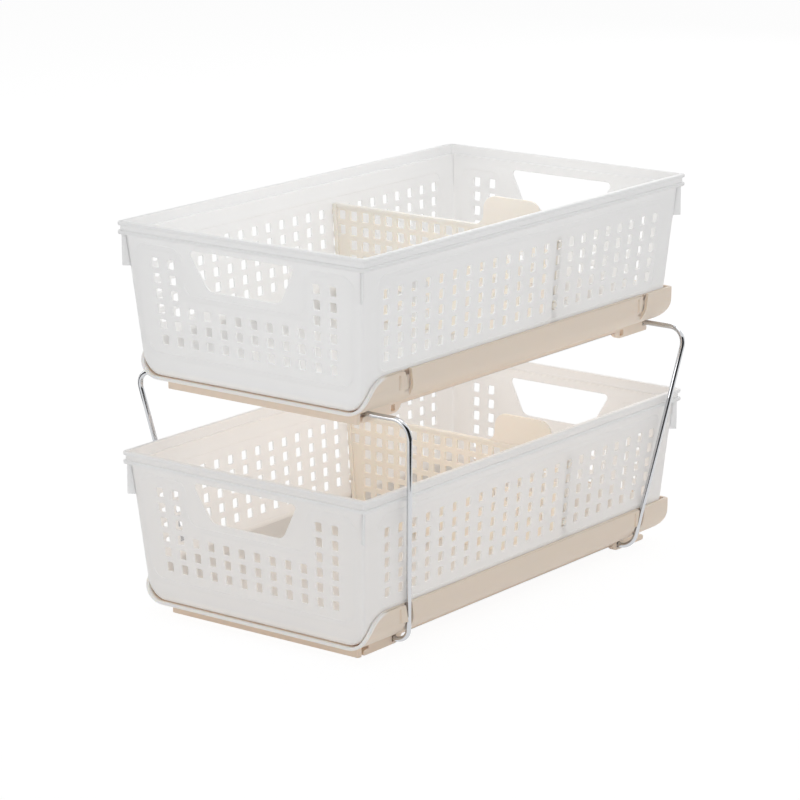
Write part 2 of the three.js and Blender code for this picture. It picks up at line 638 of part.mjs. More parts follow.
// Path of a bent wire: straight between its corners, with a round bend at each inner corner.
// Each straight is one step and each bend is BEND_STEPS, so the steps aren't of even length.
class BentWire extends THREE.Curve {
  constructor(corners, radius) {
    super();
    this.places = [corners[0]];
    this.headings = [corners[1].clone().sub(corners[0]).normalize()];
    for (let i = 1; i < corners.length - 1; i += 1) {
      this.bend(corners[i - 1], corners[i], corners[i + 1], radius);
    }
    this.places.push(corners.at(-1));
    this.headings.push(this.headings.at(-1));
  }

  bend(before, corner, after, radius) {
    const arrive = corner.clone().sub(before).normalize();
    const leave = after.clone().sub(corner).normalize();
    const turn = arrive.angleTo(leave);
    const start = corner.clone().addScaledVector(arrive, -radius * Math.tan(turn / 2));
    const inward = leave.clone().addScaledVector(arrive, -Math.cos(turn)).normalize();
    for (let step = 0; step <= BEND_STEPS; step += 1) {
      const angle = (turn * step) / BEND_STEPS;
      const place = start.clone().addScaledVector(arrive, radius * Math.sin(angle));
      this.places.push(place.addScaledVector(inward, radius * (1 - Math.cos(angle))));
      const heading = arrive.clone().multiplyScalar(Math.cos(angle));
      this.headings.push(heading.addScaledVector(inward, Math.sin(angle)));
    }
  }

  get steps() {
    return this.places.length - 1;
  }

  getPointAt(share) {
    return this.places[Math.round(share * this.steps)].clone();
  }

  getTangentAt(share) {
    return this.headings[Math.round(share * this.steps)].clone();
  }
}

// Wire frame: ends turned in under the lower tray, splayed legs and a run under the upper tray.
// A full circle takes two sides for each of its curve segments.
function frameGeometry() {
  const inner = BRACKET_FACE - BRACKET_THICKNESS - WIRE_END_PROUD;
  const runZ = END_HEIGHT + FRAME_HEIGHT;
  const path = new BentWire([
    new THREE.Vector3(-inner, -END_REACH, END_HEIGHT),
    new THREE.Vector3(-ANKLE_HALF, -END_REACH, END_HEIGHT),
    new THREE.Vector3(-SHOULDER_HALF, -RUN_REACH, runZ),
    new THREE.Vector3(SHOULDER_HALF, -RUN_REACH, runZ),
    new THREE.Vector3(ANKLE_HALF, -END_REACH, END_HEIGHT),
    new THREE.Vector3(inner, -END_REACH, END_HEIGHT),
  ], WIRE_BEND_RADIUS);
  const section = new THREE.Shape();
  section.absarc(0, 0, WIRE_DIAMETER / 2, 0, 2 * Math.PI);
  return new THREE.ExtrudeGeometry(section, {
    steps: path.steps, extrudePath: path, curveSegments: WIRE_SIDES / 2,
  });
}

function tier(prefix, dividerColumn) {
  const group = new THREE.Group();
  const tray = piece(`${prefix}_tray`, trayGeometry(), beige);
  const basket = piece(`${prefix}_basket`, basketGeometry(), frosted);
  basket.position.z = BASKET_LIFT;
  const divider = piece(`${prefix}_divider`, dividerGeometry(dividerColumn), cream);
  divider.position.set(0, dividerY(dividerColumn), BASKET_LIFT);
  group.add(tray, basket, divider);
  return group;
}

function wireFrame(name, turn) {
  const frame = piece(name, frameGeometry(), chrome);
  frame.rotation.z = turn;
  frame.position.y = FRAME_CENTRE_Y;
  return frame;
}

const organizer = new THREE.Group();
const lowerTier = tier("lower", LOWER_DIVIDER_COLUMN);
const upperTier = tier("upper", UPPER_DIVIDER_COLUMN);
upperTier.position.z = TIER_PITCH;
organizer.add(lowerTier, upperTier);
organizer.add(wireFrame("front_wire_frame", 0), wireFrame("rear_wire_frame", Math.PI));

export default organizer;
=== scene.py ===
# Looks of a two-tier slide-out organizer: two frosted perforated baskets that slide on beige trays,
# a cream divider across each basket, and two chromed wire frames that carry the upper tray.
# Metres, Z up. X runs across the width, Y from the front (negative) to the back.
import math

import bmesh
import bpy
from mathutils import Euler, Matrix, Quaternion, Vector
from mathutils.geometry import tessellate_polygon


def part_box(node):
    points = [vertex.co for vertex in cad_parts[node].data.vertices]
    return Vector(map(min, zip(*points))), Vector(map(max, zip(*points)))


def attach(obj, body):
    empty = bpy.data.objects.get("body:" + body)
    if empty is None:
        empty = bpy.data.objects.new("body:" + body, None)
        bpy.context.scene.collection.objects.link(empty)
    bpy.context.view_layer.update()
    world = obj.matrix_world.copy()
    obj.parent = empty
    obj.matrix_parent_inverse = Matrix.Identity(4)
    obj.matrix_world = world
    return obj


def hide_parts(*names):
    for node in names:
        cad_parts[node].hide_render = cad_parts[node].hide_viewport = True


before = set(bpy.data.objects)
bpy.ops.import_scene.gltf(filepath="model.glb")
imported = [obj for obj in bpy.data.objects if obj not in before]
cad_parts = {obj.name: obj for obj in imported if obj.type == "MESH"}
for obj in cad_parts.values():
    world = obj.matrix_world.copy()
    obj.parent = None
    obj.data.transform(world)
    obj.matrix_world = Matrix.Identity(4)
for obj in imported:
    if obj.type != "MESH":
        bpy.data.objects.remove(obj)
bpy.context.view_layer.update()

# Sizes that the frame gives
BASKET_LOW, BASKET_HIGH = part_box("lower_basket")
TRAY_LOW, TRAY_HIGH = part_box("lower_tray")
RIM_HALF_X = BASKET_HIGH.x
RIM_HALF_Y = BASKET_HIGH.y
BASKET_HEIGHT = BASKET_HIGH.z - BASKET_LOW.z
BASKET_LIFT = BASKET_LOW.z
TRAY_TOP = TRAY_HIGH.z
TRAY_BACK = TRAY_HIGH.y
TRAY_FRONT = TRAY_LOW.y
TIER_FEET = {"lower": TRAY_LOW.z, "upper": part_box("upper_tray")[0].z}

# Basket body
BASKET_WALL = 0.0018
BASKET_FLOOR = 0.002
SIDE_DRAFT = 0.0747  # outward lean of the long walls, run over rise
END_DRAFT = 0.0963  # outward lean of the front and back walls
SIDE_OVERHANG = 0.0052  # flange tip beyond the long wall just under the rim
END_OVERHANG = 0.0043  # flange tip beyond the end wall just under the rim
SIDE_BOTTOM_RADIUS = 0.016
END_BOTTOM_RADIUS = 0.002
WALL_CORNER_RADIUS = 0.0026
RIM_CORNER_RADIUS = 0.004

# Basket rim: two flanges on an upright band, with a ledge inside
FLANGE_THICKNESS = 0.003
FLANGE_PITCH = 0.0067
FLANGE_REACH = 0.002
FLANGE_EDGE = 0.0008  # how far a flange's lips draw back from its tip
RIM_BAND = 0.002
LEDGE_THICKNESS = 0.002
RIM_UNDERSIDE = BASKET_HEIGHT - FLANGE_PITCH - FLANGE_THICKNESS
LEDGE_TOP = RIM_UNDERSIDE + LEDGE_THICKNESS

# Corner ribs under the rim
RIB_HEIGHT = 0.024
RIB_THICKNESS = 0.0016
RIB_EMBED = 0.0002
RIB_EDGE_RADIUS = 0.0008

# Handle cut-outs in the front and back walls
HANDLE_DROP = 0.0146  # top of the cut-out below the rim's top
HANDLE_HEIGHT = 0.0297
HANDLE_TOP_WIDTH = 0.101
HANDLE_BOTTOM_WIDTH = 0.068
HANDLE_TOP_RADIUS = 0.003
HANDLE_BOTTOM_RADIUS = 0.010
HANDLE_TOP = BASKET_HEIGHT - HANDLE_DROP
HANDLE_BOTTOM = HANDLE_TOP - HANDLE_HEIGHT

# Hole fields: rows are counted down from the rim, and columns fan out towards it
HOLE_WIDTH = 0.0062
HOLE_HEIGHT = 0.0074
HOLE_RADIUS = 0.001
ROW_PITCH = 0.01185
END_ROW_DROP = 0.0283  # middle of the end walls' top row below the rim's top
END_ROWS = 6
END_COLUMNS = 12
END_COLUMN_PITCH = 0.0153  # in the top row
END_FAN = 0.8  # growth of the pitch per metre of height
END_SPLIT_ROWS = 3  # rows that the handle interrupts
END_SPLIT_COLUMNS = 2  # columns left on each side of the handle there
SIDE_ROW_DROP = 0.0314
SIDE_ROWS = 5
SIDE_COLUMNS = 22
SIDE_COLUMN_PITCH = 0.0166
SIDE_FAN = 0.57
END_TOP_ROW = BASKET_HEIGHT - END_ROW_DROP
SIDE_TOP_ROW = BASKET_HEIGHT - SIDE_ROW_DROP

# Raised bead round each hole field, on both faces of the wall, with heights over the basket's underside
BEAD_WIDTH = 0.0042
BEAD_HEIGHT = 0.00035
BEAD_SLOPE = 0.0005
BEAD_RADIUS = 0.008
END_BEAD_LOW = 0.0195
END_BEAD_HIGH = 0.0985
END_BEAD_LOW_HALF = 0.0959
END_BEAD_HIGH_HALF = 0.1006
END_BEAD_NOTCH_HALF = 0.061
END_BEAD_NOTCH = 0.0635
END_BEAD_NOTCH_RADIUS = 0.0125
SIDE_BEAD_LOW = 0.028
SIDE_BEAD_HIGH = 0.097
SIDE_BEAD_LOW_HALF = 0.1767
SIDE_BEAD_HIGH_HALF = 0.1833

# Divider
DIVIDER_THICKNESS = 0.0022
DIVIDER_DROP = 0.0242  # top edge below the rim's top
DIVIDER_FLOOR_GAP = 0.0003
DIVIDER_SIDE_GAP = 0.0005
DIVIDER_CORNER = 0.017
DIVIDER_TOP_RADIUS = 0.0015
DIVIDER_EDGE_WIDTH = 0.003
DIVIDER_EDGE_DEPTH = 0.006
DIVIDER_BAR_HEIGHT = 0.0026
DIVIDER_BAR_DEPTH = 0.0044
DIVIDER_COLUMNS = 18
DIVIDER_ROWS = 7
DIVIDER_HOLE_PITCH = 0.0118
DIVIDER_HOLE_WIDTH = 0.007
DIVIDER_HOLE_HEIGHT = 0.0076
DIVIDER_ROW_DROP = 0.0085  # middle of the top row below the top edge
DIVIDER_HOLE_MARGIN = 0.003  # least web between a hole and the divider's outline
TAB_SIDE_GAP = 0.0072  # foot of the tab to the divider's right edge
TAB_TOP_WIDTH = 0.054
TAB_BASE_WIDTH = 0.070
TAB_HEIGHT = 0.0238
TAB_RADIUS = 0.011
TAB_FOOT_RADIUS = 0.009
PIN_RADIUS = 0.0023
PIN_PROUD = 0.001
PIN_EMBED = 0.0025
DIVIDER_TOP = BASKET_HEIGHT - DIVIDER_DROP
DIVIDER_BOTTOM = BASKET_FLOOR + DIVIDER_FLOOR_GAP
DIVIDER_TOP_ROW = DIVIDER_TOP - DIVIDER_ROW_DROP

# Tray, with heights over its feet
TRAY_UNDERSIDE = 0.0093
TRAY_FLOOR = 0.0024
TRAY_WALL = 0.0028
TRAY_SIDE_RADIUS = 0.019
TRAY_END_RADIUS = 0.013
TRAY_CORNER_RADIUS = 0.0026
TRAY_FRONT_RADIUS = 0.026
TRAY_LIP = 0.0007  # rounding of the walls' top edge
FOOT_BAR_SETBACK = 0.0125
FOOT_BAR_DEPTH = 0.005
FOOT_BAR_RADIUS = FOOT_BAR_DEPTH / 3
RAIL_DEPTH = 0.0038
RAIL_THICKNESS = 0.002
CUT_MARGIN = 0.02  # how far cutters reach past what they cut

# Wire frames and the tray brackets that hold them
WIRE_RADIUS = 0.00205
WIRE_BEND_RADIUS = 0.013
WIRE_TIP = 0.0006  # rounding of the wire's ends
WIRE_GAP = 0.0003  # all round the wire where a bracket holds it
WIRE_CLEARANCE = WIRE_RADIUS + WIRE_GAP
RUN_FRONT_INSET = 0.0226
RUN_BACK_INSET = 0.0132
FRAME_LEAN = 0.0328
END_HEIGHT = 0.0043
ANKLE_INSET = 0.0046
LEG_RIM_GAP = 0.0022
BRACKET_THICKNESS = 0.005
BRACKET_OUTSET = 0.0008
BRACKET_TAIL = 0.0105
JAW_REACH = 0.0036
JAW_TIP = 0.0015
WIRE_END_PROUD = 0.0023
NOTCH_SIDE_GAP = 0.0024
NOTCH_INNER_GAP = 0.0002
POCKET_WALL = 0.0004
POCKET_LOW = 0.0185  # foot of a pocket over the tray's feet
POCKET_DROP = 0.0008  # top of a pocket below the tray's top edge
WEDGE_LENGTH = 0.0095
WEDGE_HEIGHT = 0.014
WEDGE_PROUD = 0.0025
CREASE_WIDTH = 0.0028
CREASE_DEPTH = 0.0015

# Tray and frame lines that follow from those sizes
TRAY_FLOOR_TOP = TRAY_UNDERSIDE + TRAY_FLOOR
TRAY_HALF_WIDTH = TRAY_HIGH.x - WEDGE_PROUD
BRACKET_FACE = TRAY_HALF_WIDTH - TRAY_SIDE_RADIUS + BRACKET_OUTSET
RUN_HEIGHT = TRAY_UNDERSIDE - WIRE_CLEARANCE
RUN_TOP = TIER_FEET["upper"] + RUN_HEIGHT
RUN_FRONT = TRAY_FRONT + RUN_FRONT_INSET
RUN_BACK = TRAY_BACK - RUN_BACK_INSET
FRAME_CENTRE_Y = (RUN_FRONT + RUN_BACK) / 2
RUN_REACH = (RUN_BACK - RUN_FRONT) / 2
END_REACH = RUN_REACH - FRAME_LEAN
ANKLE_HALF = TRAY_HALF_WIDTH - ANKLE_INSET
LEG_AT_RIM = RIM_HALF_X + LEG_RIM_GAP + WIRE_RADIUS
LEG_SPLAY = (LEG_AT_RIM - ANKLE_HALF) / (BASKET_LIFT + RIM_UNDERSIDE - END_HEIGHT)
SHOULDER_HALF = ANKLE_HALF + LEG_SPLAY * (RUN_TOP - END_HEIGHT)

# Fineness of the meshes
CORNER_STEPS = 8
FRONT_STEPS = 16
BOTTOM_STEPS = 10
END_FLAT_STEP = 6  # step up the long bottom edges from which the end walls are flat
LIP_STEPS = 6
HOLE_STEPS = 3
BEND_STEPS = 14
WIRE_SIDES = 20  # of the divider's pins too
EDGE_EASE = 0.00025  # small chamfer along moulded edges
SOFT_EDGE = 2 * EDGE_EASE  # small round at the corners of bars and pins
TRAY_EASE = 0.00035
TRAY_EASE_STEPS = 2
WELD = 0.000005
SHARP_ANGLE = math.radians(35)

# Colours of the pieces: each pair is what a faint cloudiness varies between
FROSTED_COLOURS = ((0.90, 0.902, 0.905), (0.92, 0.92, 0.922))
# Painted light: the basket's floor is painted paler and warmer, as if the beige tray shone through it
PAINTED_TRAY_GLOW = (0.975, 0.95, 0.912)  # where the tray shows through
PAINTED_TRAY_GLOW_FADE = 3 * BASKET_FLOOR  # height at which that tint has gone
BEIGE_COLOURS = ((0.875, 0.76, 0.645), (0.855, 0.74, 0.625))
# Painted light: the tray's thin front edge is painted paler, as if lit from both sides
PAINTED_EDGE_LIGHT = (0.975, 0.95, 0.915)  # along the tray's thin front edge
PAINTED_EDGE_LIGHT_FADE = TRAY_FRONT_RADIUS / 3  # stretch of the top edge over which that tint comes in
CREAM_COLOURS = ((0.932, 0.88, 0.81), (0.917, 0.865, 0.79))
CHROME_COLOURS = ((0.62, 0.63, 0.65), (0.66, 0.67, 0.69))
CHROME_CLOUD_SCALE = 40
CHROME_ROUGH_SCALE = 300
CHROME_ROUGHNESS = (0.03, 0.08)

# Finishes of the plastics: scales of the noise in them, and how light scatters under their skin
FROSTED_FINISH = {
    "cloud_scale": 14, "rough_scale": 60, "roughness": (0.42, 0.52),
    "grain_scale": 2200, "grain_strength": 0.12,
    "scatter": 0.9, "scatter_radius": (1.0, 1.0, 1.0), "scatter_depth": 0.006,
}
SATIN_FINISH = {
    "cloud_scale": 25, "rough_scale": 90, "roughness": (0.38, 0.5),
    "grain_scale": 1800, "grain_strength": 0.15,
    "scatter": 0.3, "scatter_radius": (1.0, 0.8, 0.6), "scatter_depth": 0.002,
}
GRAIN_HEIGHT = 0.0002
PLASTIC_IOR = 1.49

# Stage: white to the camera and in mirrors, with the object's shadow left on the floor
WHITE = (1, 1, 1, 1)
WORLD_LIGHT = 0.42  # strength of the white surroundings as a light
FLOOR_HALF = 20
FLOOR_GLOW = 0.88  # share of plain white in the floor that is seen
FLOOR_WHITE = 1.05
FLOOR_COLOUR = (0.96, 0.96, 0.96, 1)

# Black flags round the stage, each a sector of the floor with a wall behind it, that only mirrors show:
# they draw the streaks in the chrome. Degrees from X
FLAGS = {
    "camera_side": {"heading": -30, "spread": 48},
    "back_left": {"heading": 150, "spread": 20},
    "front_left": {"heading": -140, "spread": 12},
}
FLAG_COLOUR = (0.01, 0.01, 0.01, 1)
FLAG_NEAR = 0.5
FLAG_FAR = 2.8
FLAG_LIFT = 0.002
FLAG_TOP = 1.6

# Lamps, in metres and watts, which all point at the middle of the object
LAMP_TARGET = (0, 0, 0.15)
LAMPS = {
    "overhead": {"place": (0.0, 0.0, 2.4), "size": (2.0, 2.0), "power": 12},
    "left": {"place": (-2.4, 0.3, 1.0), "size": (1.6, 1.6), "power": 8},
    "behind": {"place": (-0.4, 2.6, 1.1), "size": (2.0, 1.6), "power": 17},
    "key": {"place": (-0.8, -2.1, 0.45), "size": (1.2, 0.8), "power": 6.5},
    "right": {"place": (2.4, -0.6, 0.6), "size": (1.4, 1.0), "power": 9},
}
LIGHT_BOUNCES = 48
DIFFUSE_BOUNCES = 40

# Small lamp over each basket, as wide as its inside and pointing down
FILL_GAP = 0.039
FILL_TARGET = (0, 0, 0)
FILL_SIZE = (0.19, 0.36)
FILL_POWER = 0.09

# Camera, solved from the photograph's hole grids: angles in radians, lens and sensor in millimetres
CAMERA_PLACE = (1.5113, -1.9849, 0.7841)
CAMERA_DIP = 0.2511  # below level
CAMERA_HEADING = 0.6544
CAMERA_ROLL = -0.0025
CAMERA_LENS = 148.08
CAMERA_SENSOR = 36

# Directions, and the two sides of what is mirrored
ALONG_Y = Vector((0, 1, 0))
UP = Vector((0, 0, 1))
SIDES = (-1, 1)


def add_object(name, data, place=(0, 0, 0)):
    made = bpy.data.objects.new(name, data)
    made.location = place
    bpy.context.scene.collection.objects.link(made)
    return made


def apply_modifiers(body):
    bpy.context.view_layer.update()
    seen = body.evaluated_get(bpy.context.evaluated_depsgraph_get())
    body.data = bpy.data.meshes.new_from_object(seen)
    body.modifiers.clear()


# Closed outline with a round of its own radius at each corner, from (across, height, radius) corners
def rounded(corners, steps=CORNER_STEPS):
    points = []
    for index, (across, height, radius) in enumerate(corners):
        here = Vector((across, height))
        if radius == 0:
            points.append(here)
            continue
        back = (Vector(corners[index - 1][:2]) - here).normalized()
        ahead = (Vector(corners[(index + 1) % len(corners)][:2]) - here).normalized()
        half = back.angle(ahead) / 2
        centre = here + (back + ahead).normalized() * (radius / math.sin(half))
        start = here + back * (radius / math.tan(half)) - centre
        end = here + ahead * (radius / math.tan(half)) - centre
        first = math.atan2(start.y, start.x)
        turn = math.atan2(start.x * end.y - start.y * end.x, start.dot(end))
        for step in range(steps + 1):
            angle = first + turn * step / steps
            points.append(centre + radius * Vector((math.cos(angle), math.sin(angle))))
    return points


# The same from the corners of its right half, the lowest first, for an outline with two like halves
def mirrored(right):
    left = [(-across, height, radius) for across, height, radius in right]
    return rounded([left[0], *right, *reversed(left[1:])])


# Outline moved outwards by a distance, for points that run counter-clockwise
def offset(outline, distance):
    moved = []
    for index, point in enumerate(outline):
        before = point - outline[index - 1]
        after = outline[(index + 1) % len(outline)] - point
        out_before = Vector((before.y, -before.x)).normalized()
        out_after = Vector((after.y, -after.x)).normalized()
        spread = 1 + out_before.dot(out_after)
        moved.append(point + (out_before + out_after) * (distance / spread))
    return moved


# Corners of an upright rectangle, counter-clockwise
def box_corners(left, right, low, high):
    return [Vector(p) for p in ((left, low), (right, low), (right, high), (left, high))]


# Upright rectangle about a middle, with rounded corners
def rectangle(across, height, width, tall, radius, steps=HOLE_STEPS):
    corners = box_corners(across - width / 2, across + width / 2, height - tall / 2, height + tall / 2)
    return rounded([(*corner, radius) for corner in corners], steps)


# Points round a circle
def circle(centre, radius, aside, across):
    turns = [2 * math.pi * side / WIRE_SIDES for side in range(WIRE_SIDES)]
    return [centre + radius * (aside * math.cos(turn) + across * math.sin(turn)) for turn in turns]


# Rounded rectangle at one height, counter-clockwise from above
def ring(half_x, half_y, radius, height, centre_y=0):
    outline = rounded([
        (half_x, half_y, radius), (-half_x, half_y, radius),
        (-half_x, -half_y, radius), (half_x, -half_y, radius),
    ])
    return [Vector((p.x, p.y + centre_y, height)) for p in outline]


# A mesh in the making: loops of points, bands between loops and flat fills with holes
class Shell:
    def __init__(self):
        self.bm = bmesh.new()

    def loop(self, points):
        return [self.bm.verts.new(point) for point in points]

    def band(self, first, second, skip=()):
        for index in range(len(first)):
            if index not in skip:
                after = (index + 1) % len(first)
                self.bm.faces.new((first[index], first[after], second[after], second[index]))

    def bands(self, loops):
        for first, second in zip(loops, loops[1:]):
            self.band(first, second)

    def cap(self, loop):
        self.bm.faces.new(loop)

    # Fill between an outer loop and the holes in it, whose flat outlines are given alongside
    def fill(self, loops, outlines):
        corners = [corner for loop in loops for corner in loop]
        flat = [[point.to_3d() for point in outline] for outline in outlines]
        for triangle in tessellate_polygon(flat):
            self.bm.faces.new([corners[index] for index in triangle])

    # Mesh of all that was added, welded, with its faces turned outwards
    def mesh(self, name):
        bmesh.ops.remove_doubles(self.bm, verts=self.bm.verts, dist=WELD)
        bmesh.ops.dissolve_degenerate(self.bm, dist=WELD, edges=self.bm.edges)
        loose = [edge for edge in self.bm.edges if edge.is_wire]
        bmesh.ops.delete(self.bm, geom=loose, context="EDGES")
        bmesh.ops.recalc_face_normals(self.bm, faces=self.bm.faces)
        made = bpy.data.meshes.new(name)
        self.bm.to_mesh(made)
        self.bm.free()
        return smooth(made)


# Smooth shading that leaves flat faces flat beside their rounded edges
def smooth(mesh):
    mesh.shade_smooth()
    mesh.set_sharp_from_angle(angle=SHARP_ANGLE)
    body = add_object("shading", mesh)
    even = body.modifiers.new("even", "WEIGHTED_NORMAL")
    even.keep_sharp = True
    apply_modifiers(body)
    shaded = body.data
    bpy.data.objects.remove(body)
    return shaded


# Bands across a plate from one outline on its faces to another just inside them, and the faces' loops
def eased_loops(shell, place, on_faces, within, near, far):
    stages = [(on_faces, near), (within, near + EDGE_EASE), (within, far - EDGE_EASE), (on_faces, far)]
    loops = [shell.loop(place(p, depth) for p in points) for points, depth in stages]
    shell.bands(loops)
    return loops[0], loops[-1]


# Eased opening through a plate: its outset outline, and its loops on the near and far faces
def tunnel(shell, place, outline, near, far):
    wide = offset(outline, EDGE_EASE)
    return wide, *eased_loops(shell, place, wide, outline, near, far)


# Plate with eased edges and openings, between two depths
def plate(shell, place, outline, near, far, holes=()):
    small = offset(outline, -EDGE_EASE)
    edges = [(small, *eased_loops(shell, place, small, outline, near, far))]
    edges += [tunnel(shell, place, hole, near, far) for hole in holes]
    outlines, near_loops, far_loops = zip(*edges)
    shell.fill(near_loops, outlines)
    shell.fill(far_loops, outlines)


# Closed skin through rings of points, with a flat end at the first and the last
def tube(shell, rings):
    loops = [shell.loop(points) for points in rings]
    shell.bands(loops)
    shell.cap(loops[0])
    shell.cap(loops[-1])


# Plain bar with a flat outline, between two depths
def prism(shell, place, outline, near, far):
    tube(shell, [[place(Vector(p), depth) for p in outline] for depth in (near, far)])


# Such a bar by itself
def bar(place, outline, near, far):
    shell = Shell()
    prism(shell, place, outline, near, far)
    return shell


# Half sizes of the basket wall's outer faces at a height over its underside
def wall_half_x(height):
    return RIM_HALF_X - SIDE_OVERHANG - SIDE_DRAFT * (RIM_UNDERSIDE - height)


def wall_half_y(height):
    return RIM_HALF_Y - END_OVERHANG - END_DRAFT * (RIM_UNDERSIDE - height)


# How far a rounded bottom edge stands in from its wall at a height over the floor's face
def inset(radius, height):
    below = max(0, radius - height)
    return radius - math.sqrt(radius * radius - below * below)


# Heights that step evenly round a bottom edge
def bottom_heights(radius):
    angles = [math.pi / 2 * step / BOTTOM_STEPS for step in range(BOTTOM_STEPS + 1)]
    return [radius * (1 - math.cos(angle)) for angle in angles]


# Ring of the basket's outer wall, or of its inner wall when it is set in by the wall's thickness
def wall_ring(height, set_in, rise):
    return ring(
        wall_half_x(height) - set_in - inset(SIDE_BOTTOM_RADIUS - set_in, rise),
        wall_half_y(height) - set_in - inset(END_BOTTOM_RADIUS - set_in, rise),
        WALL_CORNER_RADIUS - set_in,
        height,
    )


# Ring of the rim, set in from the flange tips
def rim_ring(height, set_in):
    radius = max(RIM_CORNER_RADIUS - set_in, FLANGE_EDGE)
    return ring(RIM_HALF_X - set_in, RIM_HALF_Y - set_in, radius, height)


# Rounded lip of a flange
def flange_rings(bottom):
    rings = []
    for step in range(LIP_STEPS + 1):
        angle = math.pi * step / LIP_STEPS
        height = bottom + FLANGE_THICKNESS * (1 - math.cos(angle)) / 2
        rings.append(rim_ring(height, FLANGE_EDGE * (1 - math.sin(angle))))
    return rings


# Heights of the rings round the bottom edges of the outer or the inner face, over that face's floor
def foot_rises(set_in):
    return bottom_heights(SIDE_BOTTOM_RADIUS - set_in)


# Skin of the basket, apart from the flat stretches of its four walls
def basket_skin(shell):
    outer_foot = [wall_ring(rise, 0, rise) for rise in foot_rises(0)]
    rim = [
        wall_ring(RIM_UNDERSIDE, 0, RIM_UNDERSIDE),
        *flange_rings(RIM_UNDERSIDE),
        rim_ring(RIM_UNDERSIDE + FLANGE_THICKNESS, FLANGE_REACH),
        rim_ring(RIM_UNDERSIDE + FLANGE_PITCH, FLANGE_REACH),
        *flange_rings(RIM_UNDERSIDE + FLANGE_PITCH),
        rim_ring(BASKET_HEIGHT, FLANGE_REACH + RIM_BAND - EDGE_EASE),
        rim_ring(BASKET_HEIGHT - EDGE_EASE, FLANGE_REACH + RIM_BAND),
        rim_ring(LEDGE_TOP, FLANGE_REACH + RIM_BAND),
        wall_ring(LEDGE_TOP, BASKET_WALL, LEDGE_TOP),
    ]
    inner_foot = [wall_ring(BASKET_FLOOR + rise, BASKET_WALL, rise) for rise in foot_rises(BASKET_WALL)]
    stacks = (outer_foot, rim, inner_foot)
    outer, top, inner = [[shell.loop(points) for points in stack] for stack in stacks]
    flats = [quarter * (CORNER_STEPS + 1) + CORNER_STEPS for quarter in range(4)]
    end_flats = flats[::2]
    for foot in (outer, inner):
        for step, (first, second) in enumerate(zip(foot, foot[1:])):
            shell.band(first, second, skip=end_flats if step >= END_FLAT_STEP else ())
        shell.cap(foot[0])
    shell.bands(top)
    shell.band(outer[-1], top[0], skip=flats)
    shell.band(top[-1], inner[-1], skip=flats)


# Border of a wall's flat stretch on one face, which follows the rings of the skin beside it
def flat_border(half, set_in, first, high):
    floor = BASKET_FLOOR if set_in else 0
    right = []
    for rise in foot_rises(set_in)[first:]:
        side = half(floor + rise) - inset(SIDE_BOTTOM_RADIUS - set_in, rise) - WALL_CORNER_RADIUS
        right.append(Vector((side, floor + rise)))
    right.append(Vector((half(high) - WALL_CORNER_RADIUS, high)))
    left = [Vector((-point.x, point.y)) for point in reversed(right)]
    return right + left


# Flat stretch of a wall with its openings: those inside the bead line and those outside it
def wall_panel(shell, place, half, first, line, inside, outside):
    inner = [tunnel(shell, place, outline, 0, BASKET_WALL) for outline in inside]
    outer = [tunnel(shell, place, outline, 0, BASKET_WALL) for outline in outside]
    lines = [offset(line, out) for out in (BEAD_WIDTH, BEAD_WIDTH - BEAD_SLOPE, BEAD_SLOPE, 0)]
    faces = [(1, 0, -BEAD_HEIGHT, RIM_UNDERSIDE), (2, BASKET_WALL, BEAD_HEIGHT, LEDGE_TOP)]
    for face, depth, rise, high in faces:
        depths = (depth, depth + rise, depth + rise, depth)
        beads = [shell.loop(place(p, d) for p in points) for points, d in zip(lines, depths)]
        shell.bands(beads)
        edge = flat_border(half, depth, first, high)
        border = shell.loop(place(p, depth) for p in edge)
        shell.fill([border, beads[0]] + [o[face] for o in outer], [edge, lines[0]] + [o[0] for o in outer])
        shell.fill([beads[-1]] + [o[face] for o in inner], [line] + [o[0] for o in inner])


def hole_places(top, rows, columns, column_pitch, fan):
    for row in range(rows):
        height = top - row * ROW_PITCH
        pitch = column_pitch * (1 + fan * (height - top))
        for column in range(columns):
            yield row, column, (column - (columns - 1) / 2) * pitch, height


# Holes of an end wall, which leave room for the handle in the upper rows
def end_holes():
    holes = []
    for row, column, across, height in hole_places(
            END_TOP_ROW, END_ROWS, END_COLUMNS, END_COLUMN_PITCH, END_FAN):
        beside = min(column, END_COLUMNS - 1 - column) < END_SPLIT_COLUMNS
        if beside or row >= END_SPLIT_ROWS:
            holes.append(rectangle(across, height, HOLE_WIDTH, HOLE_HEIGHT, HOLE_RADIUS))
    return holes


def side_holes():
    places = hole_places(SIDE_TOP_ROW, SIDE_ROWS, SIDE_COLUMNS, SIDE_COLUMN_PITCH, SIDE_FAN)
    return [
        rectangle(across, height, HOLE_WIDTH, HOLE_HEIGHT, HOLE_RADIUS)
        for row, column, across, height in places
    ]


def handle_outline():
    return mirrored([
        (HANDLE_BOTTOM_WIDTH / 2, HANDLE_BOTTOM, HANDLE_BOTTOM_RADIUS),
        (HANDLE_TOP_WIDTH / 2, HANDLE_TOP, HANDLE_TOP_RADIUS),
    ])


# Bead line of an end wall: it dips below the handle
def end_bead():
    return mirrored([
        (END_BEAD_LOW_HALF, END_BEAD_LOW, BEAD_RADIUS),
        (END_BEAD_HIGH_HALF, END_BEAD_HIGH, BEAD_RADIUS),
        (END_BEAD_NOTCH_HALF, END_BEAD_HIGH, BEAD_RADIUS),
        (END_BEAD_NOTCH_HALF, END_BEAD_NOTCH, END_BEAD_NOTCH_RADIUS),
    ])


def side_bead():
    return mirrored([
        (SIDE_BEAD_LOW_HALF, SIDE_BEAD_LOW, BEAD_RADIUS),
        (SIDE_BEAD_HIGH_HALF, SIDE_BEAD_HIGH, BEAD_RADIUS),
    ])


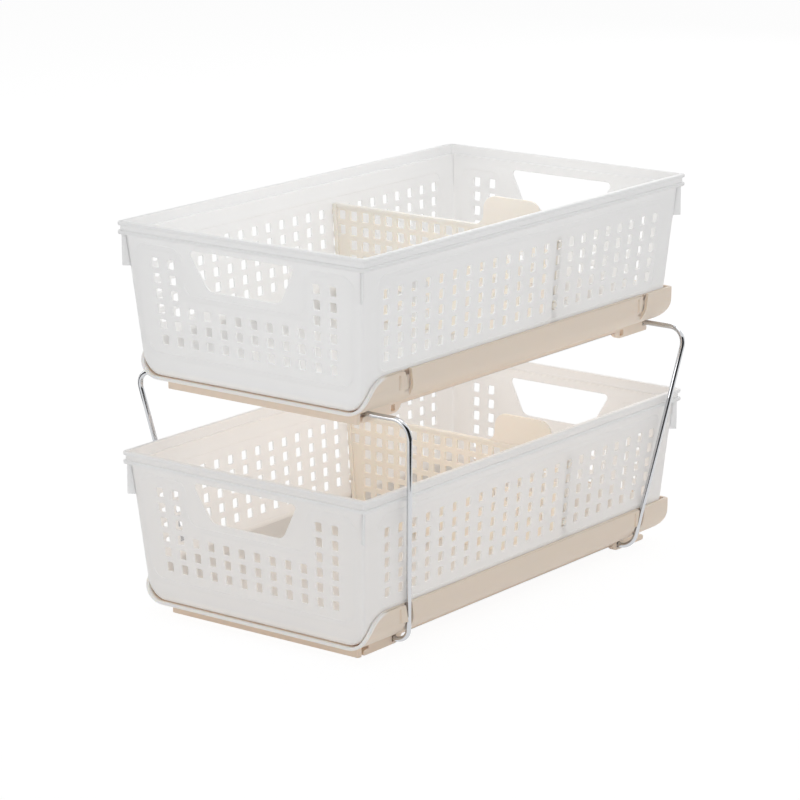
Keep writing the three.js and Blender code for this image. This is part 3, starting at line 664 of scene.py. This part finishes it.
# Upright ribs on the diagonals, from the rounded wall corners out to the corners of the rim
def corner_ribs(shell):
    round_off = 1 - math.sqrt(0.5)  # how far the middle of a unit round lies inside its corner, each way
    foot = RIM_UNDERSIDE - RIB_HEIGHT
    rim_off = FLANGE_REACH + RIM_CORNER_RADIUS * round_off
    rim = Vector((RIM_HALF_X - rim_off, RIM_HALF_Y - rim_off))

    def corner(height):
        wall_off = WALL_CORNER_RADIUS * round_off
        return Vector((wall_half_x(height) - wall_off, wall_half_y(height) - wall_off))

    top = corner(RIM_UNDERSIDE)
    along = (rim - top).normalized()
    reach = (rim - top).length
    lean = (top - corner(foot)).dot(along)
    outline = rounded([
        (-RIB_EMBED - lean, foot, 0), (reach, foot, RIB_EDGE_RADIUS),
        (reach, RIM_UNDERSIDE + RIB_EMBED, 0), (-RIB_EMBED, RIM_UNDERSIDE + RIB_EMBED, 0),
    ])
    for sign_x in SIDES:
        for sign_y in SIDES:
            out = Vector((sign_x * along.x, sign_y * along.y, 0))
            aside = Vector((-out.y, out.x, 0))
            root = Vector((sign_x * top.x, sign_y * top.y, 0))

            def place(point, depth):
                return root + out * point.x + aside * depth + UP * point.y

            plate(shell, place, outline, -RIB_THICKNESS / 2, RIB_THICKNESS / 2)


def basket_mesh():
    shell = Shell()
    basket_skin(shell)
    for sign in SIDES:
        def end_place(point, depth):
            return Vector((point.x, sign * (wall_half_y(point.y) - depth), point.y))

        def side_place(point, depth):
            return Vector((sign * (wall_half_x(point.y) - depth), point.x, point.y))

        wall_panel(
            shell, end_place, wall_half_x, END_FLAT_STEP, end_bead(), end_holes(), [handle_outline()])
        wall_panel(shell, side_place, wall_half_y, BOTTOM_STEPS, side_bead(), side_holes(), [])
    corner_ribs(shell)
    return shell.mesh("basket")


# Half width of a divider at a height over the basket's underside
def divider_half(height):
    return wall_half_x(height) - BASKET_WALL - DIVIDER_SIDE_GAP


def divider_outline():
    low = divider_half(DIVIDER_BOTTOM)
    high = divider_half(DIVIDER_TOP)
    centre = high - TAB_SIDE_GAP - TAB_BASE_WIDTH / 2
    left = centre - TAB_TOP_WIDTH / 2
    right = centre + TAB_TOP_WIDTH / 2
    tab_top = DIVIDER_TOP + TAB_HEIGHT
    return rounded([
        (-low, DIVIDER_BOTTOM, DIVIDER_CORNER), (low, DIVIDER_BOTTOM, DIVIDER_CORNER),
        (high, DIVIDER_TOP, DIVIDER_TOP_RADIUS),
        (right, DIVIDER_TOP, TAB_FOOT_RADIUS), (right, tab_top, TAB_RADIUS),
        (left, tab_top, TAB_RADIUS), (left, DIVIDER_TOP, TAB_FOOT_RADIUS),
        (-high, DIVIDER_TOP, DIVIDER_TOP_RADIUS),
    ])


# Square holes of the divider, without those that its edges or rounded bottom corners would cut
def divider_holes():
    holes = []
    corner_h = DIVIDER_BOTTOM + DIVIDER_CORNER
    for row in range(DIVIDER_ROWS):
        height = DIVIDER_TOP_ROW - row * DIVIDER_HOLE_PITCH
        low = height - DIVIDER_HOLE_HEIGHT / 2
        corner_x = divider_half(low) - DIVIDER_CORNER
        for column in range(DIVIDER_COLUMNS):
            across = (column - (DIVIDER_COLUMNS - 1) / 2) * DIVIDER_HOLE_PITCH
            past_x = max(0, abs(across) + DIVIDER_HOLE_WIDTH / 2 - corner_x)
            past_h = max(0, corner_h - low)
            if math.hypot(past_x, past_h) < DIVIDER_CORNER - DIVIDER_HOLE_MARGIN:
                holes.append(rectangle(
                    across, height, DIVIDER_HOLE_WIDTH, DIVIDER_HOLE_HEIGHT, HOLE_RADIUS))
    return holes


# Stiffened upright edges and the bar along the top
def divider_frame(shell, place):
    low = DIVIDER_BOTTOM + DIVIDER_CORNER
    foot = divider_half(low)
    head = divider_half(DIVIDER_TOP)
    corners = [
        (foot - DIVIDER_EDGE_WIDTH, low), (foot, low),
        (head, DIVIDER_TOP), (head - DIVIDER_EDGE_WIDTH, DIVIDER_TOP),
    ]
    for sign in SIDES:
        outline = rounded([(sign * across, height, SOFT_EDGE) for across, height in corners])
        plate(shell, place, outline[::sign], -DIVIDER_EDGE_DEPTH / 2, DIVIDER_EDGE_DEPTH / 2)
    middle = DIVIDER_TOP + EDGE_EASE - DIVIDER_BAR_HEIGHT / 2
    outline = rectangle(0, middle, 2 * (head - EDGE_EASE), DIVIDER_BAR_HEIGHT, SOFT_EDGE)
    plate(shell, place, outline, -DIVIDER_BAR_DEPTH / 2, DIVIDER_BAR_DEPTH / 2)


# Round pin with an eased end, which reaches through a hole of the long wall
def divider_pin(shell, sign, offset_y, height):
    root = divider_half(height) - PIN_EMBED
    tip = wall_half_x(height) + PIN_PROUD
    stages = [(root, PIN_RADIUS), (tip - SOFT_EDGE, PIN_RADIUS), (tip, PIN_RADIUS - SOFT_EDGE)]
    rings = []
    for x, radius in stages:
        rings.append(circle(Vector((sign * x, offset_y, height)), radius, ALONG_Y, UP))
    tube(shell, rings)


# Divider about its own middle; its pins lean with the hole columns of the long walls
def divider_mesh(name, place_y):
    def place(point, depth):
        return Vector((point.x, depth, point.y))

    shell = Shell()
    plate(shell, place, divider_outline(), -DIVIDER_THICKNESS / 2, DIVIDER_THICKNESS / 2, divider_holes())
    divider_frame(shell, place)
    spread = SIDE_FAN * (SIDE_ROWS - 1) * ROW_PITCH
    for height, lean in ((SIDE_TOP_ROW, 1), (SIDE_TOP_ROW - (SIDE_ROWS - 1) * ROW_PITCH, -1)):
        for sign in SIDES:
            divider_pin(shell, sign, lean * place_y * spread / (2 - spread), height)
    return shell.mesh(name)


# Ring of the tray's pan, whose front end is made long and cut off
def pan_ring(height, set_in, rise):
    front = TRAY_FRONT - TRAY_FRONT_RADIUS - CUT_MARGIN
    return ring(
        TRAY_HALF_WIDTH - set_in - inset(TRAY_SIDE_RADIUS - min(set_in, TRAY_WALL), rise),
        (TRAY_BACK - front) / 2 - set_in - inset(TRAY_END_RADIUS - min(set_in, TRAY_WALL), rise),
        max(TRAY_CORNER_RADIUS - set_in, EDGE_EASE),
        height,
        (TRAY_BACK + front) / 2,
    )


# Lip along the top of the tray's walls: round on the outside, flat to the inner edge
def lip_rings():
    rings = []
    for step in range(LIP_STEPS + 1):
        angle = math.pi / 2 * step / LIP_STEPS
        set_in = TRAY_LIP * (1 - math.cos(angle))
        rings.append(pan_ring(TRAY_TOP - TRAY_LIP * (1 - math.sin(angle)), set_in, TRAY_TOP))
    rings.append(pan_ring(TRAY_TOP, TRAY_WALL, TRAY_TOP))
    return rings


# Pan of the tray before anything is joined to it or cut from it
def pan_object():
    shell = Shell()
    outside = [pan_ring(TRAY_UNDERSIDE + rise, 0, rise) for rise in bottom_heights(TRAY_SIDE_RADIUS)]
    inside = [
        pan_ring(TRAY_FLOOR_TOP + rise, TRAY_WALL, rise)
        for rise in reversed(bottom_heights(TRAY_SIDE_RADIUS - TRAY_WALL))
    ]
    tube(shell, outside + lip_rings() + inside)
    return add_object("pan", shell.mesh("pan"))


# Join a shell to an object, or cut it out
def combine(body, shell, operation):
    other = add_object("tool", shell.mesh("tool"))
    step = body.modifiers.new("combine", "BOOLEAN")
    step.operation = operation
    step.solver = "EXACT"
    step.object = other
    apply_modifiers(body)
    bpy.data.objects.remove(other)


# Place of an outline that is seen from the side
def along_x(point, depth):
    return Vector((depth, point.x, point.y))


# Place of an outline that is seen from above, on one side of the tray
def from_above(sign_x):
    def place(point, depth):
        return Vector((sign_x * point.x, point.y, depth))

    return place


# All that lies ahead of the tray's open front, with the side walls' top corners rounded
def pan_front():
    far = TRAY_FRONT - TRAY_FRONT_RADIUS - 2 * CUT_MARGIN
    turn = TRAY_TOP - TRAY_FRONT_RADIUS
    outline = [(far, -CUT_MARGIN), (TRAY_FRONT, -CUT_MARGIN)]
    for step in range(FRONT_STEPS + 1):
        angle = math.pi / 2 * step / FRONT_STEPS
        back = TRAY_FRONT_RADIUS * (1 - math.cos(angle))
        outline.append((TRAY_FRONT + back, turn + TRAY_FRONT_RADIUS * math.sin(angle)))
    outline.append((TRAY_FRONT + TRAY_FRONT_RADIUS, TRAY_TOP + CUT_MARGIN))
    outline.append((far, TRAY_TOP + CUT_MARGIN))
    return bar(along_x, outline, -TRAY_HALF_WIDTH - CUT_MARGIN, TRAY_HALF_WIDTH + CUT_MARGIN)


# Middle of a frame's leg, as if it ran straight to its corners, at a height over the lower feet
def leg_place(sign_x, sign_y, height):
    share = (height - END_HEIGHT) / (RUN_TOP - END_HEIGHT)
    x = ANKLE_HALF + LEG_SPLAY * (height - END_HEIGHT)
    y = END_REACH + FRAME_LEAN * share
    return Vector((sign_x * x, FRAME_CENTRE_Y + sign_y * y, height))


# Block along a leg between two heights and two depths, as wide as the leg's slot and a margin
def leg_block(shell, sign_x, sign_y, heights, depths, margin):
    low, high = [leg_place(sign_x, sign_y, height) for height in heights]
    turn = UP.rotation_difference(high - low)
    half = WIRE_RADIUS + NOTCH_SIDE_GAP + margin

    def place(point, depth):
        return low + turn @ Vector((sign_x * depth, point.x, point.y))

    prism(shell, place, box_corners(-half, half, 0, (high - low).length), *depths)


# Slot along a leg, which lets it through the tray's side wall
def leg_notch(sign_x, sign_y):
    shell = Shell()
    heights = (END_HEIGHT, TRAY_TOP + CUT_MARGIN)
    leg_block(shell, sign_x, sign_y, heights, (-WIRE_RADIUS - NOTCH_INNER_GAP, CUT_MARGIN), 0)
    return shell


# Thin plate that closes a leg's slot on the inner face of the side wall
def leg_pocket(shell, sign_x, sign_y):
    outer = -WIRE_RADIUS - NOTCH_INNER_GAP
    heights = (POCKET_LOW, TRAY_TOP - POCKET_DROP)
    leg_block(shell, sign_x, sign_y, heights, (outer - POCKET_WALL, outer), POCKET_WALL)


# Detent on the tray's outer face that rises towards the notch behind it
def detent_wedge(sign_x, sign_y):
    end = leg_place(sign_x, sign_y, TRAY_TOP).y
    root = TRAY_HALF_WIDTH - TRAY_WALL / 2
    outline = [
        (root, end), (root, end - WEDGE_LENGTH),
        (TRAY_HALF_WIDTH, end - WEDGE_LENGTH), (TRAY_HALF_WIDTH + WEDGE_PROUD, end),
    ]
    return bar(from_above(sign_x), outline, TRAY_TOP - WEDGE_HEIGHT, TRAY_TOP - TRAY_LIP)


# Upright crease in the tray's outer face, where the detent starts
def detent_crease(sign_x, sign_y):
    start = leg_place(sign_x, sign_y, TRAY_TOP).y - WEDGE_LENGTH
    deep = TRAY_HALF_WIDTH - CREASE_DEPTH
    proud = TRAY_HALF_WIDTH + WEDGE_PROUD
    outline = [(deep, start), (proud, start - CREASE_WIDTH), (proud, start + CREASE_WIDTH)]
    return bar(from_above(sign_x), outline, TRAY_TOP - WEDGE_HEIGHT, TRAY_TOP - TRAY_WALL)


# Place in a bracket's own plate: along the frame's direction, height, and across the plate
def bracket_place(sign_x, sign_y):
    def place(point, depth):
        return Vector((sign_x * (BRACKET_FACE - depth), FRAME_CENTRE_Y + sign_y * point.x, point.y))

    return place


# Bracket under the tray, with a hook for a frame's top run
def bracket(sign_x, sign_y):
    root = TRAY_UNDERSIDE + TRAY_FLOOR / 2
    jaw_top = RUN_HEIGHT - WIRE_CLEARANCE
    nose = RUN_REACH + JAW_REACH
    throat = RUN_REACH - WIRE_CLEARANCE
    tail = END_REACH - BRACKET_TAIL
    outline = rounded([
        (tail, 0, TRAY_UNDERSIDE), (nose, 0, JAW_TIP), (nose, jaw_top, jaw_top / 2),
        (throat, jaw_top, 0), (throat, root, 0), (tail, root, 0),
    ])
    return bar(bracket_place(sign_x, sign_y), outline, 0, BRACKET_THICKNESS)


# Square hole of a bracket, for a frame's turned-in end
def bracket_hole(sign_x, sign_y):
    outline = rectangle(END_REACH, END_HEIGHT, 2 * WIRE_CLEARANCE, 2 * WIRE_CLEARANCE, SOFT_EDGE)
    return bar(bracket_place(sign_x, sign_y), outline, -CUT_MARGIN, BRACKET_THICKNESS + CUT_MARGIN)


# Bar that the tray's front stands on, with rounded ends
def foot_bar():
    middle = TRAY_FRONT + FOOT_BAR_SETBACK + FOOT_BAR_DEPTH / 2
    outline = rectangle(0, middle, 2 * BRACKET_FACE, FOOT_BAR_DEPTH, FOOT_BAR_RADIUS, CORNER_STEPS)
    return bar(from_above(1), outline, 0, TRAY_UNDERSIDE + TRAY_FLOOR / 2)


# Rail under the floor between the front and rear brackets of one side
def rail(sign_x):
    reach = END_REACH - BRACKET_TAIL / 2
    low = TRAY_UNDERSIDE - RAIL_DEPTH
    high = TRAY_UNDERSIDE + TRAY_FLOOR / 2
    outline = box_corners(FRAME_CENTRE_Y - reach, FRAME_CENTRE_Y + reach, low, high)
    return bar(along_x, outline, sign_x * BRACKET_FACE, sign_x * (BRACKET_FACE - RAIL_THICKNESS))


# Small chamfer along the sharp edges of an object
def ease_edges(body):
    ease = body.modifiers.new("ease", "BEVEL")
    ease.width = TRAY_EASE
    ease.segments = TRAY_EASE_STEPS
    ease.limit_method = "ANGLE"
    ease.angle_limit = SHARP_ANGLE
    ease.use_clamp_overlap = False
    apply_modifiers(body)


def tray_mesh():
    body = pan_object()
    combine(body, pan_front(), "DIFFERENCE")
    combine(body, foot_bar(), "UNION")
    for sign_x in SIDES:
        combine(body, rail(sign_x), "UNION")
        for sign_y in SIDES:
            combine(body, detent_wedge(sign_x, sign_y), "UNION")
            combine(body, detent_crease(sign_x, sign_y), "DIFFERENCE")
            combine(body, leg_notch(sign_x, sign_y), "DIFFERENCE")
            combine(body, bracket(sign_x, sign_y), "UNION")
            combine(body, bracket_hole(sign_x, sign_y), "DIFFERENCE")
    ease_edges(body)
    shell = Shell()
    shell.bm.from_mesh(body.data)
    bpy.data.objects.remove(body)
    for sign_x in SIDES:
        for sign_y in SIDES:
            leg_pocket(shell, sign_x, sign_y)
    return shell.mesh("tray")


# Path of a bent wire: places and headings, straight between corners with a round bend at each
def bent_path(corners):
    path = []
    for before, corner, after in zip(corners, corners[1:], corners[2:]):
        arrive = (corner - before).normalized()
        leave = (after - corner).normalized()
        turn = arrive.angle(leave)
        start = corner - arrive * (WIRE_BEND_RADIUS * math.tan(turn / 2))
        inward = (leave - arrive * math.cos(turn)).normalized()
        for step in range(BEND_STEPS + 1):
            angle = turn * step / BEND_STEPS
            along = arrive * math.sin(angle) + inward * (1 - math.cos(angle))
            heading = arrive * math.cos(angle) + inward * math.sin(angle)
            path.append((start + along * WIRE_BEND_RADIUS, heading))
    first = (corners[1] - corners[0]).normalized()
    last = (corners[-1] - corners[-2]).normalized()
    return [(corners[0], first)] + path + [(corners[-1], last)]


# Round wire along a path, with eased tips
def wire_mesh(corners):
    path = bent_path(corners)
    (start, first), (end, last) = path[0], path[-1]
    stages = [(start, first, WIRE_RADIUS - WIRE_TIP), (start + first * WIRE_TIP, first, WIRE_RADIUS)]
    stages += [(place, heading, WIRE_RADIUS) for place, heading in path[1:-1]]
    stages += [(end - last * WIRE_TIP, last, WIRE_RADIUS), (end, last, WIRE_RADIUS - WIRE_TIP)]
    rings = []
    aside = first.orthogonal().normalized()
    before = first
    for place, heading, radius in stages:
        aside = before.rotation_difference(heading) @ aside
        before = heading
        rings.append(circle(place, radius, aside, heading.cross(aside)))
    shell = Shell()
    tube(shell, rings)
    return shell.mesh("wire")


# Wire frame on one side of the frames' centre: turned-in ends, splayed legs and a top run
def frame_mesh(sign_y):
    inner = BRACKET_FACE - BRACKET_THICKNESS - WIRE_END_PROUD
    half_path = [
        (inner, END_REACH, END_HEIGHT), (ANKLE_HALF, END_REACH, END_HEIGHT),
        (SHOULDER_HALF, RUN_REACH, RUN_TOP),
    ]
    right = [Vector((x, FRAME_CENTRE_Y + sign_y * y, z)) for x, y, z in half_path]
    left = [Vector((-p.x, p.y, p.z)) for p in right]
    return wire_mesh(left + right[::-1])


# Material with one Principled shader, and the parts of it that the functions below set
def new_material(name):
    made = bpy.data.materials.new(name)
    made.use_nodes = True
    tree = made.node_tree
    return made, tree, tree.nodes["Principled BSDF"]


# Noise in the piece's own coordinates
def noise(tree, scale):
    where = tree.nodes.new("ShaderNodeTexCoord")
    made = tree.nodes.new("ShaderNodeTexNoise")
    made.inputs["Scale"].default_value = scale
    tree.links.new(where.outputs["Object"], made.inputs["Vector"])
    return made.outputs["Fac"]


# Base colour that goes over to another by a share, and the socket for the one that it comes from
def blend(tree, shader, share, colour):
    mix = tree.nodes.new("ShaderNodeMix")
    mix.data_type = "RGBA"
    mix.inputs["B"].default_value = (*colour, 1)
    tree.links.new(share, mix.inputs["Factor"])
    tree.links.new(mix.outputs["Result"], shader.inputs["Base Color"])
    return mix.inputs["A"]


def vary_colour(tree, shader, factor, first, second):
    blend(tree, shader, factor, second).default_value = (*first, 1)


# Another colour over part of the piece
def tint(tree, shader, share, colour):
    before = shader.inputs["Base Color"].links[0].from_socket
    tree.links.new(before, blend(tree, shader, share, colour))


# Value carried over from one range to another
def carried(tree, value, source=(0, 1), result=(0, 1)):
    made = tree.nodes.new("ShaderNodeMapRange")
    for name, limit in zip(("From Min", "From Max", "To Min", "To Max"), (*source, *result)):
        made.inputs[name].default_value = limit
    tree.links.new(value, made.inputs["Value"])
    return made.outputs["Result"]


def vary_roughness(tree, shader, factor, limits):
    tree.links.new(carried(tree, factor, result=limits), shader.inputs["Roughness"])


def grain(tree, shader, factor, strength, height):
    bump = tree.nodes.new("ShaderNodeBump")
    bump.inputs["Strength"].default_value = strength
    bump.inputs["Distance"].default_value = height
    tree.links.new(factor, bump.inputs["Height"])
    tree.links.new(bump.outputs["Normal"], shader.inputs["Normal"])


# Moulded plastic with a faint cloudiness and a fine grain
def plastic(name, colours, finish):
    made, tree, shader = new_material(name)
    vary_colour(tree, shader, noise(tree, finish["cloud_scale"]), *colours)
    vary_roughness(tree, shader, noise(tree, finish["rough_scale"]), finish["roughness"])
    grain(tree, shader, noise(tree, finish["grain_scale"]), finish["grain_strength"], GRAIN_HEIGHT)
    shader.inputs["IOR"].default_value = PLASTIC_IOR
    shader.inputs["Subsurface Weight"].default_value = finish["scatter"]
    shader.inputs["Subsurface Radius"].default_value = finish["scatter_radius"]
    shader.inputs["Subsurface Scale"].default_value = finish["scatter_depth"]
    return made, tree, shader


# Result of a maths node, whose inputs are sockets or numbers
def calculate(tree, operation, first, second=0.0):
    made = tree.nodes.new("ShaderNodeMath")
    made.operation = operation
    for socket, value in zip(made.inputs, (first, second)):
        if isinstance(value, bpy.types.NodeSocket):
            tree.links.new(value, socket)
        else:
            socket.default_value = value
    return made.outputs[0]


# X, Y and Z in the piece's own coordinates
def own_place(tree):
    where = tree.nodes.new("ShaderNodeTexCoord")
    parts = tree.nodes.new("ShaderNodeSeparateXYZ")
    tree.links.new(where.outputs["Object"], parts.inputs[0])
    return parts.outputs


# One over the basket's floor, where the tray's glow is painted in, and nought up its walls
def tray_glow_share(tree):
    return carried(tree, own_place(tree)["Z"], (PAINTED_TRAY_GLOW_FADE, BASKET_FLOOR))


# One at the tray's open front edge and up its rounded corners, where light is painted in, and nought
# farther back
def edge_light_share(tree):
    place = own_place(tree)
    ahead = calculate(tree, "SUBTRACT", TRAY_FRONT + TRAY_FRONT_RADIUS, place["Y"])
    above = calculate(tree, "SUBTRACT", place["Z"], TRAY_TOP - TRAY_FRONT_RADIUS)
    sides = [calculate(tree, "MAXIMUM", side, 0.0) for side in (ahead, above)]
    squares = [calculate(tree, "POWER", side, 2.0) for side in sides]
    reach = calculate(tree, "SQRT", calculate(tree, "ADD", *squares))
    near = carried(tree, reach, (TRAY_FRONT_RADIUS - TRAY_WALL, TRAY_FRONT_RADIUS - TRAY_WALL / 2))
    return calculate(tree, "MULTIPLY", near, carried(tree, ahead, (0, PAINTED_EDGE_LIGHT_FADE)))


# Milky polypropylene, with painted light on its floor: the beige of the tray shining through, painted into
# the floor's colour
def basket_plastic():
    made, tree, shader = plastic("frosted_plastic", FROSTED_COLOURS, FROSTED_FINISH)
    tint(tree, shader, tray_glow_share(tree), PAINTED_TRAY_GLOW)
    return made


# Beige plastic with painted light on its thin open edge, which is painted paler as if lit from both sides
def tray_plastic():
    made, tree, shader = plastic("tray_beige", BEIGE_COLOURS, SATIN_FINISH)
    tint(tree, shader, edge_light_share(tree), PAINTED_EDGE_LIGHT)
    return made


def chrome():
    made, tree, shader = new_material("wire_chrome")
    vary_colour(tree, shader, noise(tree, CHROME_CLOUD_SCALE), *CHROME_COLOURS)
    vary_roughness(tree, shader, noise(tree, CHROME_ROUGH_SCALE), CHROME_ROUGHNESS)
    shader.inputs["Metallic"].default_value = 1
    return made


# Object made of a mesh, standing for a node and moving with its body
def piece(name, mesh, material, body, place=(0, 0, 0)):
    made = add_object(name + "_look", mesh, place)
    mesh.materials.clear()
    mesh.materials.append(material)
    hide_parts(name)
    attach(made, body)


def build_organizer():
    frosted = basket_plastic()
    beige = tray_plastic()
    cream = plastic("divider_cream", CREAM_COLOURS, SATIN_FINISH)[0]
    wire = chrome()
    basket = basket_mesh()
    tray = tray_mesh()
    for tier, feet in TIER_FEET.items():
        low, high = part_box(f"{tier}_divider")
        divider_y = (low.y + high.y) / 2
        lift = feet + BASKET_LIFT
        drawer = f"{tier}_drawer"
        divider = divider_mesh(f"{tier}_divider", divider_y)
        piece(f"{tier}_basket", basket, frosted, drawer, (0, 0, lift))
        piece(f"{tier}_divider", divider, cream, drawer, (0, divider_y, lift))
        piece(f"{tier}_tray", tray, beige, "stand", (0, 0, feet))
    for name, sign in (("front_wire_frame", -1), ("rear_wire_frame", 1)):
        piece(name, frame_mesh(sign), wire, "stand")


# One for rays that see the scene directly, in a mirror or through a clear wall, and nought for the rest
def seen_directly(tree):
    ray = tree.nodes.new("ShaderNodeLightPath").outputs
    seen = calculate(tree, "MAXIMUM", ray["Is Camera Ray"], ray["Is Glossy Ray"])
    return calculate(tree, "MAXIMUM", seen, ray["Is Transmission Ray"])


# Surface that goes over from one shader to another by a share
def mix_shaders(tree, share, first, second, output):
    mix = tree.nodes.new("ShaderNodeMixShader")
    for socket, source in zip(mix.inputs, (share, first, second)):
        tree.links.new(source, socket)
    tree.links.new(mix.outputs[0], tree.nodes[output].inputs["Surface"])


def floor_material():
    made, tree, shader = new_material("pale_floor")
    shader.inputs["Base Color"].default_value = FLOOR_COLOUR
    shader.inputs["Roughness"].default_value = 1
    shader.inputs["Specular IOR Level"].default_value = 0
    glow = tree.nodes.new("ShaderNodeEmission")
    glow.inputs["Strength"].default_value = FLOOR_WHITE
    share = calculate(tree, "MULTIPLY", seen_directly(tree), FLOOR_GLOW)
    mix_shaders(tree, share, shader.outputs[0], glow.outputs[0], "Material Output")
    return made


def floor():
    shell = Shell()
    corners = box_corners(-FLOOR_HALF, FLOOR_HALF, -FLOOR_HALF, FLOOR_HALF)
    shell.cap(shell.loop(corner.to_3d() for corner in corners))
    made = add_object("floor", shell.mesh("floor"))
    made.data.materials.append(floor_material())


def flag_mesh(heading, spread):
    shell = Shell()
    edges = [math.radians(heading + side * spread) for side in SIDES]
    rows = []
    for reach, height in ((FLAG_NEAR, FLAG_LIFT), (FLAG_FAR, FLAG_LIFT), (FLAG_FAR, FLAG_TOP)):
        rows.append(shell.loop(Vector((reach * math.cos(a), reach * math.sin(a), height)) for a in edges))
    for first, second in zip(rows, rows[1:]):
        shell.cap([*first, *reversed(second)])
    return shell.mesh("flag")


def flags():
    black, tree, shader = new_material("black_flag")
    shader.inputs["Base Color"].default_value = FLAG_COLOUR
    shader.inputs["Roughness"].default_value = 1
    for side, sector in FLAGS.items():
        made = add_object(f"flag_{side}", flag_mesh(**sector))
        made.data.materials.append(black)
        made.visible_camera = False
        made.visible_diffuse = False
        made.visible_transmission = False
        made.visible_shadow = False


def area_light(name, place, size, power, target=LAMP_TARGET):
    data = bpy.data.lights.new(name, "AREA")
    data.shape = "RECTANGLE"
    data.size, data.size_y = size
    data.energy = power
    made = add_object(name, data, place)
    made.rotation_mode = "QUATERNION"
    made.rotation_quaternion = (Vector(target) - Vector(place)).to_track_quat("-Z", "Y")
    made.visible_camera = False


# White all round to the camera and in mirrors, and dimmer as a light
def surroundings():
    world = bpy.data.worlds.new("studio")
    world.use_nodes = True
    tree = world.node_tree
    light = tree.nodes["Background"]
    light.inputs["Color"].default_value = WHITE
    light.inputs["Strength"].default_value = WORLD_LIGHT
    white = tree.nodes.new("ShaderNodeBackground")
    white.inputs["Color"].default_value = WHITE
    mix_shaders(tree, seen_directly(tree), light.outputs[0], white.outputs[0], "World Output")
    bpy.context.scene.world = world


def studio():
    scene = bpy.context.scene
    scene.view_settings.view_transform = "Standard"
    scene.cycles.max_bounces = LIGHT_BOUNCES
    scene.cycles.diffuse_bounces = DIFFUSE_BOUNCES
    surroundings()
    for name, lamp in LAMPS.items():
        area_light(name, **lamp)
    for tier, feet in TIER_FEET.items():
        height = feet + BASKET_LIFT + BASKET_HEIGHT + FILL_GAP
        area_light(f"{tier}_fill", (0, 0, height), FILL_SIZE, FILL_POWER, FILL_TARGET)


def camera():
    data = bpy.data.cameras.new("camera")
    data.lens = CAMERA_LENS
    data.sensor_width = CAMERA_SENSOR
    made = add_object("camera", data, CAMERA_PLACE)
    made.rotation_mode = "QUATERNION"
    aim = Euler((math.pi / 2 - CAMERA_DIP, 0, CAMERA_HEADING)).to_quaternion()
    made.rotation_quaternion = aim @ Quaternion(UP, CAMERA_ROLL)
    bpy.context.scene.camera = made


build_organizer()
floor()
flags()
studio()
camera()
